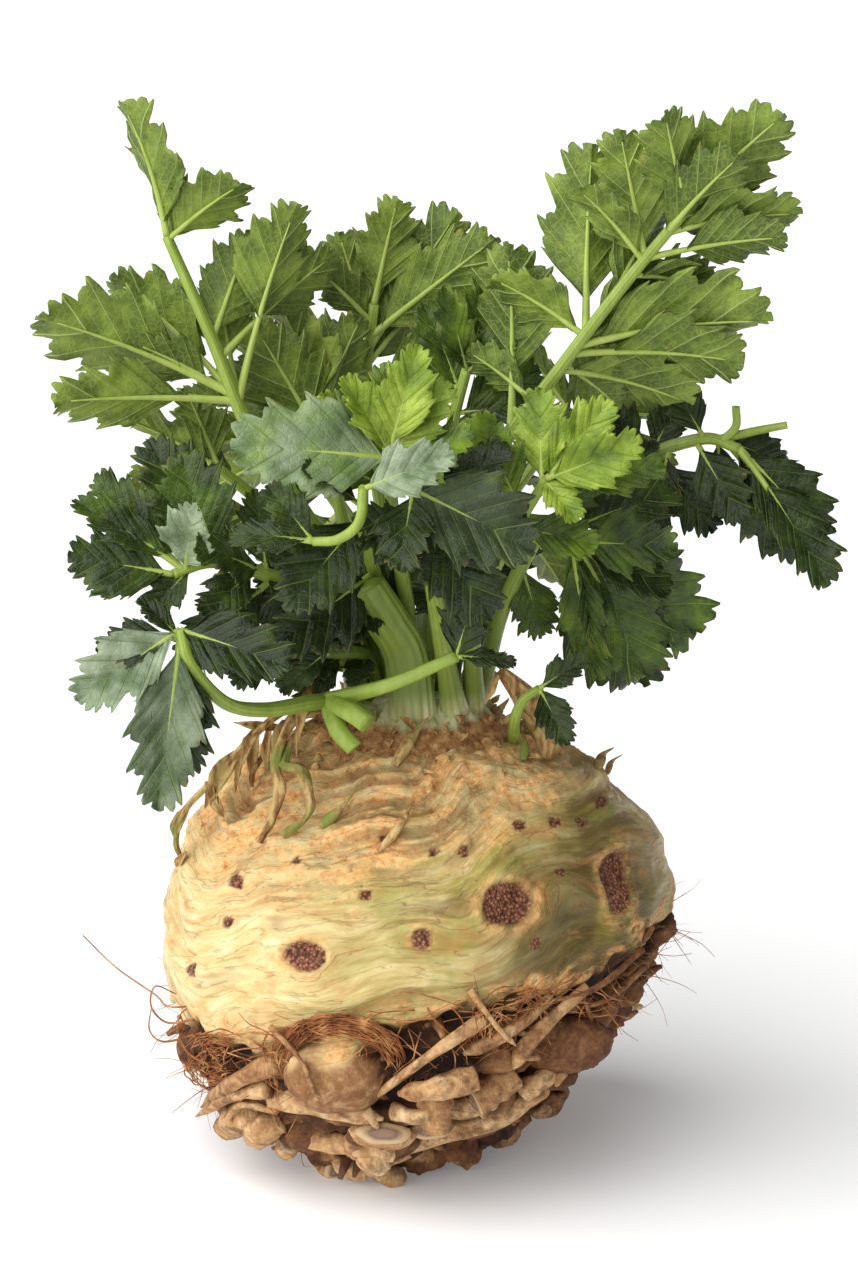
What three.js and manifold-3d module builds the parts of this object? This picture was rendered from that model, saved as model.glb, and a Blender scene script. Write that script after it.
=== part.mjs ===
// Celeriac root with its leafy stems, standing on a small flat spot under its roots.
// Millimetres, +Z up, the front is towards -Y. The origin is the middle of the flat spot.
import * as THREE from "three";
import { mergeVertices } from "three/addons/utils/BufferGeometryUtils.js";
import Module from "manifold-3d";

const wasm = await Module();
wasm.setup();

// Driving dimensions
const rootWidth = 131; // across the swollen root, left to right
const rootDepth = 126; // front to back
const rootHeight = 118; // the round body, before its foot is cut flat
const footCut = 3; // how much of the body's bottom is cut away for the flat spot
const crownTop = 118; // height at which the stems leave the root
const crownRadius = 18.5;
const bladeThick = 0.7;
const clearGap = 0.3; // between a stem's foot and the crown
const viewTilt = THREE.MathUtils.degToRad(16); // the layout is given as seen from this far above the front
const ringTilt = THREE.MathUtils.degToRad(12); // growth rings lean to the left at the top
const trimDepth = 9; // the root is flatter low on its right side
const trimmedSide = new THREE.Vector3(0.66, -0.25, -0.71).normalize();

const rootCentre = new THREE.Vector3(0, 0, rootHeight / 2 - footCut);
const rootHalf = new THREE.Vector3(rootWidth / 2, rootDepth / 2, rootHeight / 2);

const skinColour = 0xc9b27c;
const greenColour = 0x5c7a33;
const darkGreenColour = 0x3d5a33;
const paleGreenColour = 0x86a046;
const dryColour = 0x9a7a45;

// A seeded draw from 0 to 1
function draw(seed) {
  const x = Math.sin(seed * 12.9898) * 43758.5453;
  return x - Math.floor(x);
}

// A place given as seen from the front: right and up in the picture, and how far back it is
function seen([right, up, back]) {
  const z = (up - back * Math.sin(viewTilt)) / Math.cos(viewTilt);
  return new THREE.Vector3(right, back, z);
}

// The place on the root's front that is seen at right and up, lifted off its skin
function onRoot(right, up, lift = 0) {
  const half = rootHalf.clone().addScalar(lift);
  const slope = Math.tan(viewTilt);
  const level = up / Math.cos(viewTilt) - rootCentre.z;
  const a = 1 / half.y ** 2 + slope ** 2 / half.z ** 2;
  const b = (-2 * slope * level) / half.z ** 2;
  const c = (right / half.x) ** 2 + (level / half.z) ** 2 - 1;
  const back = (-b - Math.sqrt(Math.max(0, b * b - 4 * a * c))) / (2 * a);
  const at = new THREE.Vector3(right, back, level - slope * back);
  const proud = 0.9 * relief(at.clone().divide(half).normalize());
  return at.addScaledVector(at.clone().normalize(), proud).add(rootCentre);
}

// Solids from closed three.js geometries
function solidOf(geometry) {
  const bare = new THREE.BufferGeometry();
  bare.setAttribute("position", geometry.getAttribute("position"));
  bare.setIndex(geometry.index);
  const merged = mergeVertices(bare, 1e-4);
  return new wasm.Manifold(
    new wasm.Mesh({
      numProp: 3,
      vertProperties: new Float32Array(merged.attributes.position.array),
      triVerts: new Uint32Array(merged.index.array),
    }),
  );
}

// Joins solids into one body: crumbs fall away
function fused(solids) {
  const bodies = wasm.Manifold.union(solids).decompose();
  return bodies.reduce((most, body) => (body.volume() > most.volume() ? body : most));
}

function meshOf(name, solid, colour, roughness) {
  const mesh = solid.getMesh();
  const step = mesh.numProp;
  const places = new Float32Array(mesh.numVert * 3);
  for (let i = 0; i < mesh.numVert; i++) {
    places.set(mesh.vertProperties.subarray(i * step, i * step + 3), i * 3);
  }
  const geometry = new THREE.BufferGeometry();
  geometry.setAttribute("position", new THREE.BufferAttribute(places, 3));
  geometry.setIndex(new THREE.BufferAttribute(mesh.triVerts, 1));
  const material = new THREE.MeshStandardMaterial({ color: colour, roughness, metalness: 0 });
  const made = new THREE.Mesh(geometry, material);
  made.name = name;
  return made;
}

function curveThrough(points) {
  return new THREE.CatmullRomCurve3(points, false, "catmullrom", 0.5);
}

// A closed tube along a curve: radius(t) gives its half width and half thickness
function tube(curve, radius, sides, steps, wideWay = new THREE.Vector3(1, 0, 0)) {
  const geometry = new THREE.CylinderGeometry(1, 1, 1, sides, steps);
  const place = geometry.getAttribute("position");
  const frames = [];
  let wide = wideWay.clone();
  for (let i = 0; i <= steps; i++) {
    const along = curve.getTangent(i / steps);
    wide = wide.clone().addScaledVector(along, -wide.dot(along)).normalize();
    frames.push({ wide, thick: wide.clone().cross(along) });
  }
  const point = new THREE.Vector3();
  for (let i = 0; i < place.count; i++) {
    point.fromBufferAttribute(place, i);
    const t = point.y + 0.5;
    const frame = frames[Math.round(t * steps)];
    const [halfWide, halfThick] = radius(t);
    const at = curve.getPoint(t);
    at.addScaledVector(frame.wide, point.x * halfWide);
    at.addScaledVector(frame.thick, point.z * halfThick);
    place.setXYZ(i, at.x, at.y, at.z);
  }
  return solidOf(geometry);
}

// Leaflets: side veins run forward from the midrib, and each ends in a tooth or a notch of the edge.
// Each entry is where the vein leaves the midrib and how far it reaches, as shares of the blade's length.
const veins = [
  [0, 0.5],
  [0.08, 0.5],
  [0.14, 0.62],
  [0.3, 0.43],
  [0.42, 0.46],
  [0.62, 0.31],
];
const veinAngle = (share) => THREE.MathUtils.degToRad(50 - 24 * share);

// One leaflet with its own little stalk: base and tip are places, face is where its upper side looks
function leafletSolid(leaflet) {
  const { base, tip, face, seed, wide = 0.8, fold = 14, turn = 0, arch = 0.1, stalk = 0.1 } = leaflet;
  const length = tip.distanceTo(base);
  const along = tip.clone().sub(base).normalize();
  const normal = face.clone().addScaledVector(along, -face.dot(along)).normalize();
  normal.applyAxisAngle(along, THREE.MathUtils.degToRad(turn));
  const middle = base.clone().lerp(tip, 0.5).addScaledVector(normal, arch * length);
  const midrib = new THREE.QuadraticBezierCurve3(base, middle, tip);
  const bladeLength = length * (1 - stalk);
  const lean = THREE.MathUtils.degToRad(fold);
  const wave = draw(seed + 0.3) * Math.PI * 2;

  // The point at a share of the midrib, a distance across, and a height over the middle sheet
  function place(share, across, height) {
    const tangent = midrib.getTangent(share);
    const up = normal.clone().addScaledVector(tangent, -normal.dot(tangent)).normalize();
    const side = up.clone().cross(tangent);
    const hand = Math.sign(across);
    const reach = Math.abs(across) / bladeLength;
    const ripple = 0.16 * Math.sin(9 * share + wave + 1.5 * hand) - 0.35;
    const out = Math.abs(across) * Math.cos(lean);
    const lift = Math.abs(across) * Math.sin(lean) + height + ripple * reach ** 2 * bladeLength;
    return midrib.getPoint(share).addScaledVector(side, out * hand).addScaledVector(up, lift);
  }

  const half = bladeThick / 2;
  const edge = (hand) =>
    veins.map(([share, reach], i) => {
      const out = reach * (1.08 - 0.16 * draw(seed + i + (hand > 0 ? 20 : 40)));
      const angle = veinAngle(share);
      const t = stalk + (1 - stalk) * (share + out * Math.cos(angle));
      return [Math.min(0.99, t), hand * out * Math.sin(angle) * wide * bladeLength, half];
    });
  const rib = veins.map(([share], i) => [stalk + (1 - stalk) * share, 0, 0.9 - (0.5 * i) / veins.length]);
  const outline = [[0, -0.9, 0.8], [0, 0.9, 0.8], [stalk, 0.7, 0.7]];
  outline.push(...edge(1), [1, 0, half], ...edge(-1).reverse(), [stalk, -0.7, 0.7]);

  const flat = [...outline, ...rib];
  const count = veins.length;
  const tipAt = count + 3;
  const rightAt = (i) => 3 + i;
  const leftAt = (i) => tipAt + count - i;
  const ribAt = (i) => outline.length + i;
  const sheet = [
    [0, 1, ribAt(0)],
    [1, 2, ribAt(0)],
    [2, rightAt(0), ribAt(0)],
    [0, ribAt(0), outline.length - 1],
    [outline.length - 1, ribAt(0), leftAt(0)],
  ];
  for (let i = 0; i < count; i++) {
    const last = i === count - 1;
    sheet.push([ribAt(i), rightAt(i), last ? tipAt : rightAt(i + 1)]);
    sheet.push([ribAt(i), last ? tipAt : leftAt(i + 1), leftAt(i)]);
    if (!last) sheet.push([ribAt(i), rightAt(i + 1), ribAt(i + 1)], [ribAt(i), ribAt(i + 1), leftAt(i + 1)]);
  }
  const places = [1, -1].flatMap((way) =>
    flat.flatMap(([share, across, height]) => place(share, across, way * height).toArray()),
  );
  const under = flat.length;
  const faces = [];
  for (const [a, b, c] of sheet) faces.push(a, c, b, under + a, under + b, under + c);
  for (let i = 0; i < outline.length; i++) {
    const next = (i + 1) % outline.length;
    faces.push(i, next, under + next, i, under + next, under + i);
  }
  const geometry = new THREE.BufferGeometry();
  geometry.setAttribute("position", new THREE.Float32BufferAttribute(places, 3));
  geometry.setIndex(faces);
  return solidOf(geometry);
}

const upperFace = new THREE.Vector3(0, -0.8, 0.6); // the leaf's upper side faces the front
const lowerFace = new THREE.Vector3(0, 0.85, 0.5); // its underside faces the front
const backFace = new THREE.Vector3(0, 0.6, 0.8);

// One leafy stem: a foot on the crown, places that it passes, and its leaflets.
// at counts along the stem's places: 0 is the foot, 2.5 is half-way from the second to the third.
function leafyStem(stem) {
  const foot = new THREE.Vector3(stem.foot[0], stem.foot[1], crownTop + clearGap);
  const points = [foot, ...stem.path.map(seen)];
  const curve = curveThrough(points);
  const [footWide, footThick, top] = stem.radii;
  const radius = (t) => {
    const swell = Math.exp(-9 * t);
    const slim = top + (0.75 * footThick - top) * (1 - t);
    return [slim + (footWide - slim) * swell, slim + (footThick - slim) * swell];
  };
  const around = new THREE.Vector3(-stem.foot[1], stem.foot[0], 0).normalize();
  const trunk = tube(curve, radius, 5, 2 * stem.path.length + 1, around);
  // the foot ends level, just above the crown
  const belowFoot = new THREE.BoxGeometry(60, 60, 20).translate(foot.x, foot.y, foot.z - 10);
  const solids = [trunk.subtract(solidOf(belowFoot))];
  const lastPlace = points.length - 1;
  const start = (at) => curve.getPoint(Math.min(1, at / lastPlace));
  stem.leaflets.forEach((given, i) => {
    const ends = { base: start(given.at - 0.03 * i), tip: seen(given.tip) };
    solids.push(leafletSolid({ face: stem.face, seed: stem.seed + i, ...given, ...ends }));
  });
  for (const twig of stem.twigs ?? []) {
    const way = curveThrough([start(twig.at), ...twig.path.map(seen)]);
    const [thick, thin] = twig.radii;
    solids.push(tube(way, (t) => [thick + (thin - thick) * t, thick + (thin - thick) * t], 5, 3));
    (twig.leaflets ?? []).forEach((given, i) => {
      const ends = { base: way.getPoint(1), tip: seen(given.tip) };
      solids.push(leafletSolid({ face: stem.face, seed: stem.seed + 50 + i, ...given, ...ends }));
    });
  }
  return fused(solids);
}

const leafyStems = {
  tall_left: {
    seed: 1,
    foot: [-13.7, 6.1],
    radii: [4.2, 3.4, 1.3],
    face: lowerFace,
    colour: greenColour,
    path: [[-22, 149, -2], [-40.5, 179, -8], [-50.5, 203, -7], [-61.5, 228, -3]],
    leaflets: [
      { at: 4, tip: [-72, 260, -4], wide: 0.9, turn: -60, fold: 24 },
      { at: 4, tip: [-42.5, 242, -10], wide: 0.85, turn: 20 },
      { at: 4, tip: [-61, 247, 6], wide: 0.55, turn: -20 },
      { at: 2.5, tip: [-94, 211, -14], wide: 0.85, stalk: 0.28 },
      { at: 2.5, tip: [-76, 219, 4], wide: 0.8, stalk: 0.3 },
      { at: 2.5, tip: [-89, 187, -22], wide: 0.7, stalk: 0.3, turn: 25 },
      { at: 2.5, tip: [-29.5, 236, -4], wide: 0.8, stalk: 0.42 },
      { at: 2.5, tip: [-50, 220, 8], wide: 0.8, stalk: 0.4 },
    ],
  },
  mid_left: {
    seed: 13,
    foot: [-6.6, 2.4],
    radii: [3.2, 2.8, 1.3],
    face: lowerFace,
    colour: greenColour,
    path: [[-13, 139, 9], [-20, 164, 8], [-24, 186, 8]],
    leaflets: [
      { at: 3, tip: [-34, 212, 14], wide: 0.95 },
      { at: 3, tip: [-14, 210, 18], wide: 0.8 },
      { at: 2.6, tip: [-52, 196, 14], wide: 0.8, stalk: 0.25 },
    ],
  },
  left_back: {
    seed: 25,
    foot: [-8.4, 12.4],
    radii: [3.6, 3, 1.3],
    face: lowerFace,
    colour: greenColour,
    path: [[-22, 145, 10], [-38, 162, 10], [-50, 172, 6]],
    leaflets: [
      { at: 3, tip: [-75, 187, 0], wide: 0.8 },
      { at: 3, tip: [-58, 192, 10], wide: 0.8 },
      { at: 3, tip: [-72, 168, 8], wide: 0.8 },
      { at: 2, tip: [-52, 150, 22], wide: 0.9, face: backFace },
    ],
  },
  centre_top: {
    seed: 37,
    foot: [-1.8, 6.8],
    radii: [3.2, 2.8, 1.3],
    face: lowerFace,
    colour: greenColour,
    path: [[-7, 149, 16], [-13, 189, 22], [-11, 213, 24]],
    leaflets: [
      { at: 3, tip: [-5, 239, 22], wide: 0.7 },
      { at: 2.7, tip: [-20, 231, 28], wide: 0.75 },
      { at: 2.7, tip: [19.5, 229, 18], wide: 0.6, turn: -25 },
      { at: 2.4, tip: [8, 221, 34], wide: 0.8 },
    ],
  },
  centre_right: {
    seed: 49,
    foot: [4.5, 5.4],
    radii: [3.2, 2.8, 1.3],
    face: upperFace,
    colour: greenColour,
    path: [[5, 149, 2], [8, 179, -4], [12, 195.5, -8]],
    leaflets: [
      { at: 3, tip: [6, 215.5, -14], wide: 0.5, stalk: 0.02 },
      { at: 2.9, tip: [17, 219, -2], wide: 0.75, stalk: 0.15, turn: 20 },
      { at: 3, tip: [27, 206, -12], wide: 0.6, stalk: 0.05 },
      { at: 2.2, tip: [30, 196, 2], wide: 0.8, stalk: 0.15 },
    ],
  },
  tall_right: {
    seed: 61,
    foot: [6.3, -3],
    radii: [3.2, 2.8, 1.4],
    face: lowerFace,
    colour: greenColour,
    path: [[9, 144, -12], [18, 172, -18], [35.5, 196.5, -20], [50.5, 216, -18], [66, 234.5, -14]],
    leaflets: [
      { at: 5, tip: [89, 258, -16], wide: 0.95, stalk: 0.04 },
      { at: 5, tip: [59, 258.5, -24], wide: 0.85, stalk: 0.06 },
      { at: 4.7, tip: [94, 233, -10], wide: 0.75 },
      { at: 4.4, tip: [49, 253, -12], wide: 0.8 },
      { at: 4.4, tip: [38.5, 238, -24], wide: 0.7 },
      { at: 3.5, tip: [42.5, 250, -6], wide: 0.75, stalk: 0.18 },
      { at: 3.5, tip: [18, 217, -18], wide: 0.85, stalk: 0.1 },
      { at: 3.4, tip: [87, 207, -14], wide: 0.8, stalk: 0.12, turn: 20 },
      { at: 3.4, tip: [77, 220, -4], wide: 0.8, stalk: 0.12 },
      { at: 3.2, tip: [68, 187, -6], wide: 0.85, stalk: 0.12 },
    ],
  },
  far_right: {
    seed: 73,
    foot: [12.4, 8.4],
    radii: [3.6, 3, 1.3],
    face: upperFace,
    colour: darkGreenColour,
    path: [[26, 149, 10], [50, 171, 12], [70, 179, 8], [80, 176.5, 4]],
    leaflets: [
      { at: 4, tip: [102, 157.5, 0], wide: 0.85 },
      { at: 4, tip: [101.5, 142, -10], wide: 0.65, stalk: 0.3 },
      { at: 3, tip: [81, 158, -4], wide: 0.8, stalk: 0.15 },
      { at: 3.5, tip: [93, 172, 14], wide: 0.8 },
      { at: 2.5, tip: [66, 190, 18], wide: 0.8 },
    ],
    twigs: [
      { at: 3.4, path: [[84, 181, 8], [92, 182.5, 8]], radii: [1.2, 0.9] },
      { at: 3.5, path: [[79, 182, 6], [79, 187, 6]], radii: [1.1, 1] },
    ],
  },
  low_right: {
    seed: 85,
    foot: [14.9, 1.6],
    radii: [3.8, 3, 1.5],
    face: upperFace,
    colour: darkGreenColour,
    path: [[21, 137, -6], [31, 156, -12], [39, 153, -14]],
    leaflets: [
      { at: 3, tip: [64, 151.5, -20], wide: 0.9 },
      { at: 3, tip: [57, 120, -12], wide: 0.8 },
      { at: 3, tip: [69.5, 131, -2], wide: 0.85 },
      { at: 3, tip: [45.5, 119, -20], wide: 0.5, turn: 40 },
      { at: 1.6, tip: [31, 130, 0], wide: 0.7 },
    ],
  },
  front_right: {
    seed: 97,
    foot: [13.9, -5.6],
    radii: [3.6, 3, 1.3],
    face: upperFace,
    colour: paleGreenColour,
    path: [[14, 134, -20], [22, 153, -32], [31, 168, -38]],
    leaflets: [
      { at: 3, tip: [54, 177.5, -44], wide: 0.75, turn: 20 },
      { at: 3, tip: [38.5, 157.5, -46], wide: 0.8, stalk: 0 },
      { at: 3, tip: [47, 187, -34], wide: 0.75 },
      { at: 3, tip: [30, 190, -30], wide: 0.8 },
    ],
  },
  dark_centre: {
    seed: 109,
    foot: [9.2, -11.8],
    radii: [3.9, 3, 1.5],
    face: upperFace,
    colour: darkGreenColour,
    path: [[5, 134, -26], [2, 151.5, -42], [-1, 165, -50]],
    leaflets: [
      { at: 3, tip: [28, 150, -54], wide: 0.95, stalk: 0.02 },
      { at: 3, tip: [-4, 145, -68], wide: 0.8, turn: 25 },
      { at: 2.4, tip: [22, 176, -40], wide: 0.8, stalk: 0.25 },
    ],
  },
  front_centre: {
    seed: 121,
    foot: [0.6, -7],
    radii: [3.2, 2.8, 1.4],
    face: upperFace,
    colour: paleGreenColour,
    path: [[-3, 139, -14], [-6, 159, -32], [-7, 174, -44]],
    leaflets: [
      { at: 3, tip: [0.5, 200, -42], wide: 0.7, fold: 24 },
      { at: 3, tip: [-18.5, 192, -46], wide: 0.75, fold: 24 },
      { at: 3, tip: [8, 191, -40], wide: 0.75, fold: 20 },
      { at: 3, tip: [-45, 175, -48], wide: 0.75, stalk: 0.04 },
      { at: 2.8, tip: [-24, 188, -38], wide: 0.7 },
    ],
  },
  curled_centre: {
    seed: 133,
    foot: [-5.7, -4],
    radii: [3, 2.8, 1.3],
    face: upperFace,
    colour: darkGreenColour,
    path: [[-8, 136, -8], [-13, 154, -30], [-13, 165, -57]],
    leaflets: [
      { at: 3, tip: [9, 173, -64], wide: 0.8, fold: 24, turn: 20 },
      { at: 2.4, tip: [-32, 136, -56], wide: 0.85 },
    ],
    twigs: [
      {
        at: 3,
        path: [[-14, 157, -64], [-19, 153, -64], [-25, 152.5, -62]],
        radii: [1.3, 1.1],
        leaflets: [
          { tip: [-36, 166, -58], wide: 0.8, fold: 26 },
          { tip: [-45, 154, -58], wide: 0.7 },
        ],
      },
    ],
  },
  left_cluster: {
    seed: 145,
    foot: [-14.9, -1.6],
    radii: [3.6, 3, 1.3],
    face: upperFace,
    colour: darkGreenColour,
    path: [[-20, 136.5, -14], [-37, 145, -26], [-50, 148, -33], [-59.5, 145, -37]],
    leaflets: [
      { at: 4, tip: [-85, 149, -40], wide: 0.85 },
      { at: 3.7, tip: [-53, 162, -46], wide: 0.9 },
      { at: 3.8, tip: [-80.5, 172, -26], wide: 0.65, stalk: 0.2 },
      { at: 3.8, tip: [-84, 163, -34], wide: 0.5, stalk: 0.2 },
      { at: 3, tip: [-57.5, 175, -26], wide: 0.9 },
      { at: 2.3, tip: [-54, 151, -50], wide: 0.6 },
    ],
  },
  side_shoot: {
    seed: 157,
    foot: [-11.8, -9.2],
    radii: [3, 2.8, 1.6],
    face: upperFace,
    colour: darkGreenColour,
    path: [[-22, 114, -27], [-37, 112, -38], [-47, 114, -46], [-55, 123, -49], [-57.5, 131.5, -47]],
    leaflets: [
      { at: 5, tip: [-82.5, 114, -50], wide: 0.75, stalk: 0.08 },
      { at: 5, tip: [-30.5, 122, -58], wide: 0.8, stalk: 0.05 },
      { at: 5, tip: [-65, 87, -62], wide: 0.6, stalk: 0.12 },
    ],
    twigs: [
      {
        at: 1.05,
        path: [[-7, 118, -38], [9.5, 125, -40]],
        radii: [2, 1.4],
        leaflets: [
          { tip: [15, 141.5, -38], wide: 1, stalk: 0.04 },
          { tip: [24, 123, -44], wide: 0.5 },
        ],
      },
      { at: 1, path: [[-19.5, 107, -36], [-15.5, 102.5, -38]], radii: [2.4, 2.2] },
      { at: 1, path: [[-16, 111, -39], [-12.5, 108.5, -42]], radii: [2.5, 2.4] },
    ],
  },
  back_left: {
    seed: 169,
    foot: [-1, 15],
    radii: [3.6, 3, 1.3],
    face: backFace,
    colour: greenColour,
    path: [[-12, 150, 30], [-26, 172, 44], [-34, 188, 52]],
    leaflets: [
      { at: 3, tip: [-62, 190, 52], wide: 0.85 },
      { at: 3, tip: [-24, 208, 62], wide: 0.8 },
      { at: 2.4, tip: [-54, 168, 62], wide: 0.85 },
      { at: 2, tip: [-20, 166, 72], wide: 0.85 },
    ],
  },
  back_right: {
    seed: 181,
    foot: [6.6, 13.5],
    radii: [3.6, 3, 1.3],
    face: backFace,
    colour: greenColour,
    path: [[14, 150, 28], [28, 172, 42], [40, 186, 50]],
    leaflets: [
      { at: 3, tip: [68, 186, 54], wide: 0.85 },
      { at: 3, tip: [24, 206, 58], wide: 0.8 },
      { at: 2.4, tip: [58, 164, 62], wide: 0.85 },
      { at: 2, tip: [14, 172, 72], wide: 0.85 },
    ],
  },
};

// A thick leaf stalk that was cut short above the crown
function cutStalk() {
  const way = curveThrough([
    new THREE.Vector3(-1, -14.5, crownTop - 4),
    seen([-1, 120, -15]),
    seen([-6, 131, -20]),
    seen([-13, 142, -24]),
  ]);
  const body = tube(way, (t) => [5.6 - 0.4 * t, 3 - 0.2 * t], 8, 4);
  const below = new THREE.BoxGeometry(60, 60, 20).translate(0, 0, crownTop + clearGap - 10);
  return body.subtract(solidOf(below));
}

// Withered stalks that hang over the left shoulder, joined where they leave the crown
function dryStalksLeft() {
  const start = seen([-19.5, 110.5, -7]);
  const ways = [
    {
      hanging: [[-31, 112, -12], [-40, 106, -16], [-51, 94, -18], [-58, 86.5, -18], [-60.5, 79, -16.5]],
      lying: [],
      thick: 1.45,
    },
    {
      hanging: [[-30, 110, -20], [-35, 99, -28], [-34, 92, -31]],
      lying: [[-37, 84, 3.2], [-39, 79, 2.2]],
      thick: 1.7,
    },
    {
      hanging: [[-29.5, 106, -20], [-33, 98.5, -29], [-29, 97, -33], [-26.6, 90, -37]],
      lying: [[-28, 86, 4], [-33, 80.5, 2.6]],
      thick: 1.6,
    },
    { hanging: [[-30, 111, -2], [-36, 104, -4]], lying: [[-41, 96, 3], [-42, 93, 2]], thick: 1.3 },
  ];
  const solids = ways.map(({ hanging, lying, thick }) => {
    const path = [...hanging.map(seen), ...lying.map((place) => onRoot(...place))];
    const way = curveThrough([start, ...path]);
    return tube(way, (t) => [thick * (1 - 0.45 * t), thick * (0.8 - 0.4 * t)], 4, 2 * path.length);
  });
  return fused(solids);
}

// A withered sheath that stands on the right shoulder
function dryStalkRight() {
  const standing = [[34, 105, -10], [28, 114, -14], [20.5, 121.5, -15]];
  const way = curveThrough([onRoot(33, 99, 1.8), ...standing.map(seen)]);
  return tube(way, (t) => [2 + 1.4 * Math.sin(Math.PI * t), 1 + 0.4 * Math.sin(Math.PI * t)], 6, 7);
}

// A small shoot low on the right, which leaves the shoulder beside the crown
function lowShoot() {
  const points = [onRoot(24, 103.5, 1.6), seen([24, 112, -22]), seen([30, 117, -24])];
  const way = curveThrough(points);
  const solids = [tube(way, (t) => [1.7 - 0.4 * t, 1.5 - 0.3 * t], 5, 3)];
  const leaflets = [
    { at: 1, tip: [42, 124.5, -26], wide: 0.75 },
    { at: 1, tip: [37, 103, -34], wide: 0.8 },
  ];
  leaflets.forEach((given, i) => {
    const ends = { base: way.getPoint(given.at), tip: seen(given.tip) };
    solids.push(leafletSolid({ face: upperFace, seed: 193 + i, ...given, ...ends }));
  });
  return fused(solids);
}

// How far the skin stands proud of the plain body, in millimetres, in a direction from its centre
function relief(way) {
  const level = way.z * Math.cos(ringTilt) - way.x * Math.sin(ringTilt);
  const side = way.x * Math.cos(ringTilt) + way.z * Math.sin(ringTilt);
  const turn = Math.atan2(way.y, side);
  const height = Math.asin(THREE.MathUtils.clamp(level, -1, 1));
  const sway =
    0.13 * Math.sin(2 * turn + 0.6) + 0.09 * Math.sin(5 * turn + 2.1) + 0.05 * Math.sin(9 * turn);
  const rings = Math.sin(19 * (height + sway)) * THREE.MathUtils.smoothstep(height, -0.05, 0.25);
  const lumps = Math.sin(3 * turn + 1.3) * Math.cos(2.4 * height) + 0.6 * Math.sin(7 * turn + 5 * height);
  const rough = Math.sin(13 * turn + 4 * height) * Math.sin(14 * height + 3 * turn);
  const low = 1 - THREE.MathUtils.smoothstep(height, -0.14, 0.06);
  const trim = THREE.MathUtils.smoothstep(way.dot(trimmedSide), 0.45, 0.95);
  const standing = THREE.MathUtils.smoothstep(-way.z, 0.84, 0.95); // the root keeps its full height here
  return 1.3 * rings + 0.9 * lumps + (1 - standing) * (2 * low * rough - trimDepth * trim);
}

function rootBody() {
  const geometry = new THREE.SphereGeometry(1, 40, 27).rotateX(Math.PI / 2);
  const place = geometry.getAttribute("position");
  const way = new THREE.Vector3();
  for (let i = 0; i < place.count; i++) {
    way.fromBufferAttribute(place, i).normalize();
    const at = way.clone().multiply(rootHalf).addScaledVector(way, relief(way)).add(rootCentre);
    place.setXYZ(i, at.x, at.y, at.z);
  }
  return solidOf(geometry);
}

// The neck from which the leaf stalks rise
function crown() {
  const profile = [
    [0, crownTop - 16],
    [crownRadius + 7, crownTop - 16],
    [crownRadius + 5.5, crownTop - 8.5],
    [crownRadius + 1, crownTop - 4],
    [crownRadius, crownTop],
    [0, crownTop],
  ];
  const shape = profile.map(([r, z]) => new THREE.Vector2(r, z));
  return solidOf(new THREE.LatheGeometry(shape, 14).rotateX(Math.PI / 2));
}

// Brown scars where side roots and leaf bases broke off: seen place and half sizes
const scars = [
  { at: [22, 64.5], size: [6.8, 5.6] },
  { at: [49.5, 69], size: [3.8, 8.3] },
  { at: [-27.5, 51.5], size: [5.4, 4.2] },
  { at: [1, 56], size: [2.8, 2.8] },
];

function scarDisc({ at, size }) {
  const centre = onRoot(...at);
  const out = centre.clone().sub(rootCentre).divide(rootHalf).divide(rootHalf).normalize();
  const disc = new THREE.CylinderGeometry(1, 1, 6, 8).rotateX(Math.PI / 2);
  disc.scale(size[0], size[1], 1);
  const pose = new THREE.Matrix4().lookAt(out, new THREE.Vector3(), new THREE.Vector3(0, 0, 1));
  pose.setPosition(centre.addScaledVector(out, -1.6));
  return solidOf(disc.applyMatrix4(pose));
}

// Knobs and stubs of side roots, cut short, under the body: seen place, half sizes
const knobs = [
  { at: [-21, 25], size: [12.5, 10, 10] },
  { at: [20, 12], size: [6, 5, 5] },
  { at: [4, 8], size: [5, 6, 6] },
  { at: [-8, 5], size: [8, 4, 4] },
  { at: [26, 24], size: [8, 7, 6] },
  { at: [44, 30], size: [11, 9, 8] },
  { at: [-44, 9], size: [5, 5, 6] },
  { at: [-38, 8], size: [6, 5, 6] },
  { at: [12, 3], size: [9, 4, 6] },
];

// Side roots that lie along the body: seen places and thickness
const sideRoots = [
  { path: [[24, 41.5], [7, 32], [-14, 12]], lift: 1.6, thick: [1.2, 1.9] },
  { path: [[40, 38.5], [28, 29], [25, 20.5]], lift: 2, thick: [2, 2.6] },
  { path: [[13, 21.5], [4, 18.5], [-5, 16.5]], lift: 3.5, thick: [3.4, 3.2] },
  { path: [[-34, 24], [-44, 19], [-54.5, 11]], lift: 3.4, thick: [2.6, 1.6] },
  { path: [[-36, 20], [-42, 13], [-47, 7]], lift: 3.4, thick: [2.4, 1.8] },
  { path: [[-35, 15.5], [-17, 13], [-2, 9.5]], lift: 2.4, thick: [2.8, 2.6] },
];

function knob({ at, size }, i) {
  const centre = onRoot(...at, 0.5);
  const ball = new THREE.SphereGeometry(1, 6, 5).scale(size[0], size[2], size[1]);
  ball.rotateY(0.5 * (draw(i + 300) - 0.5));
  return solidOf(ball.translate(centre.x, centre.y, centre.z));
}

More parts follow.
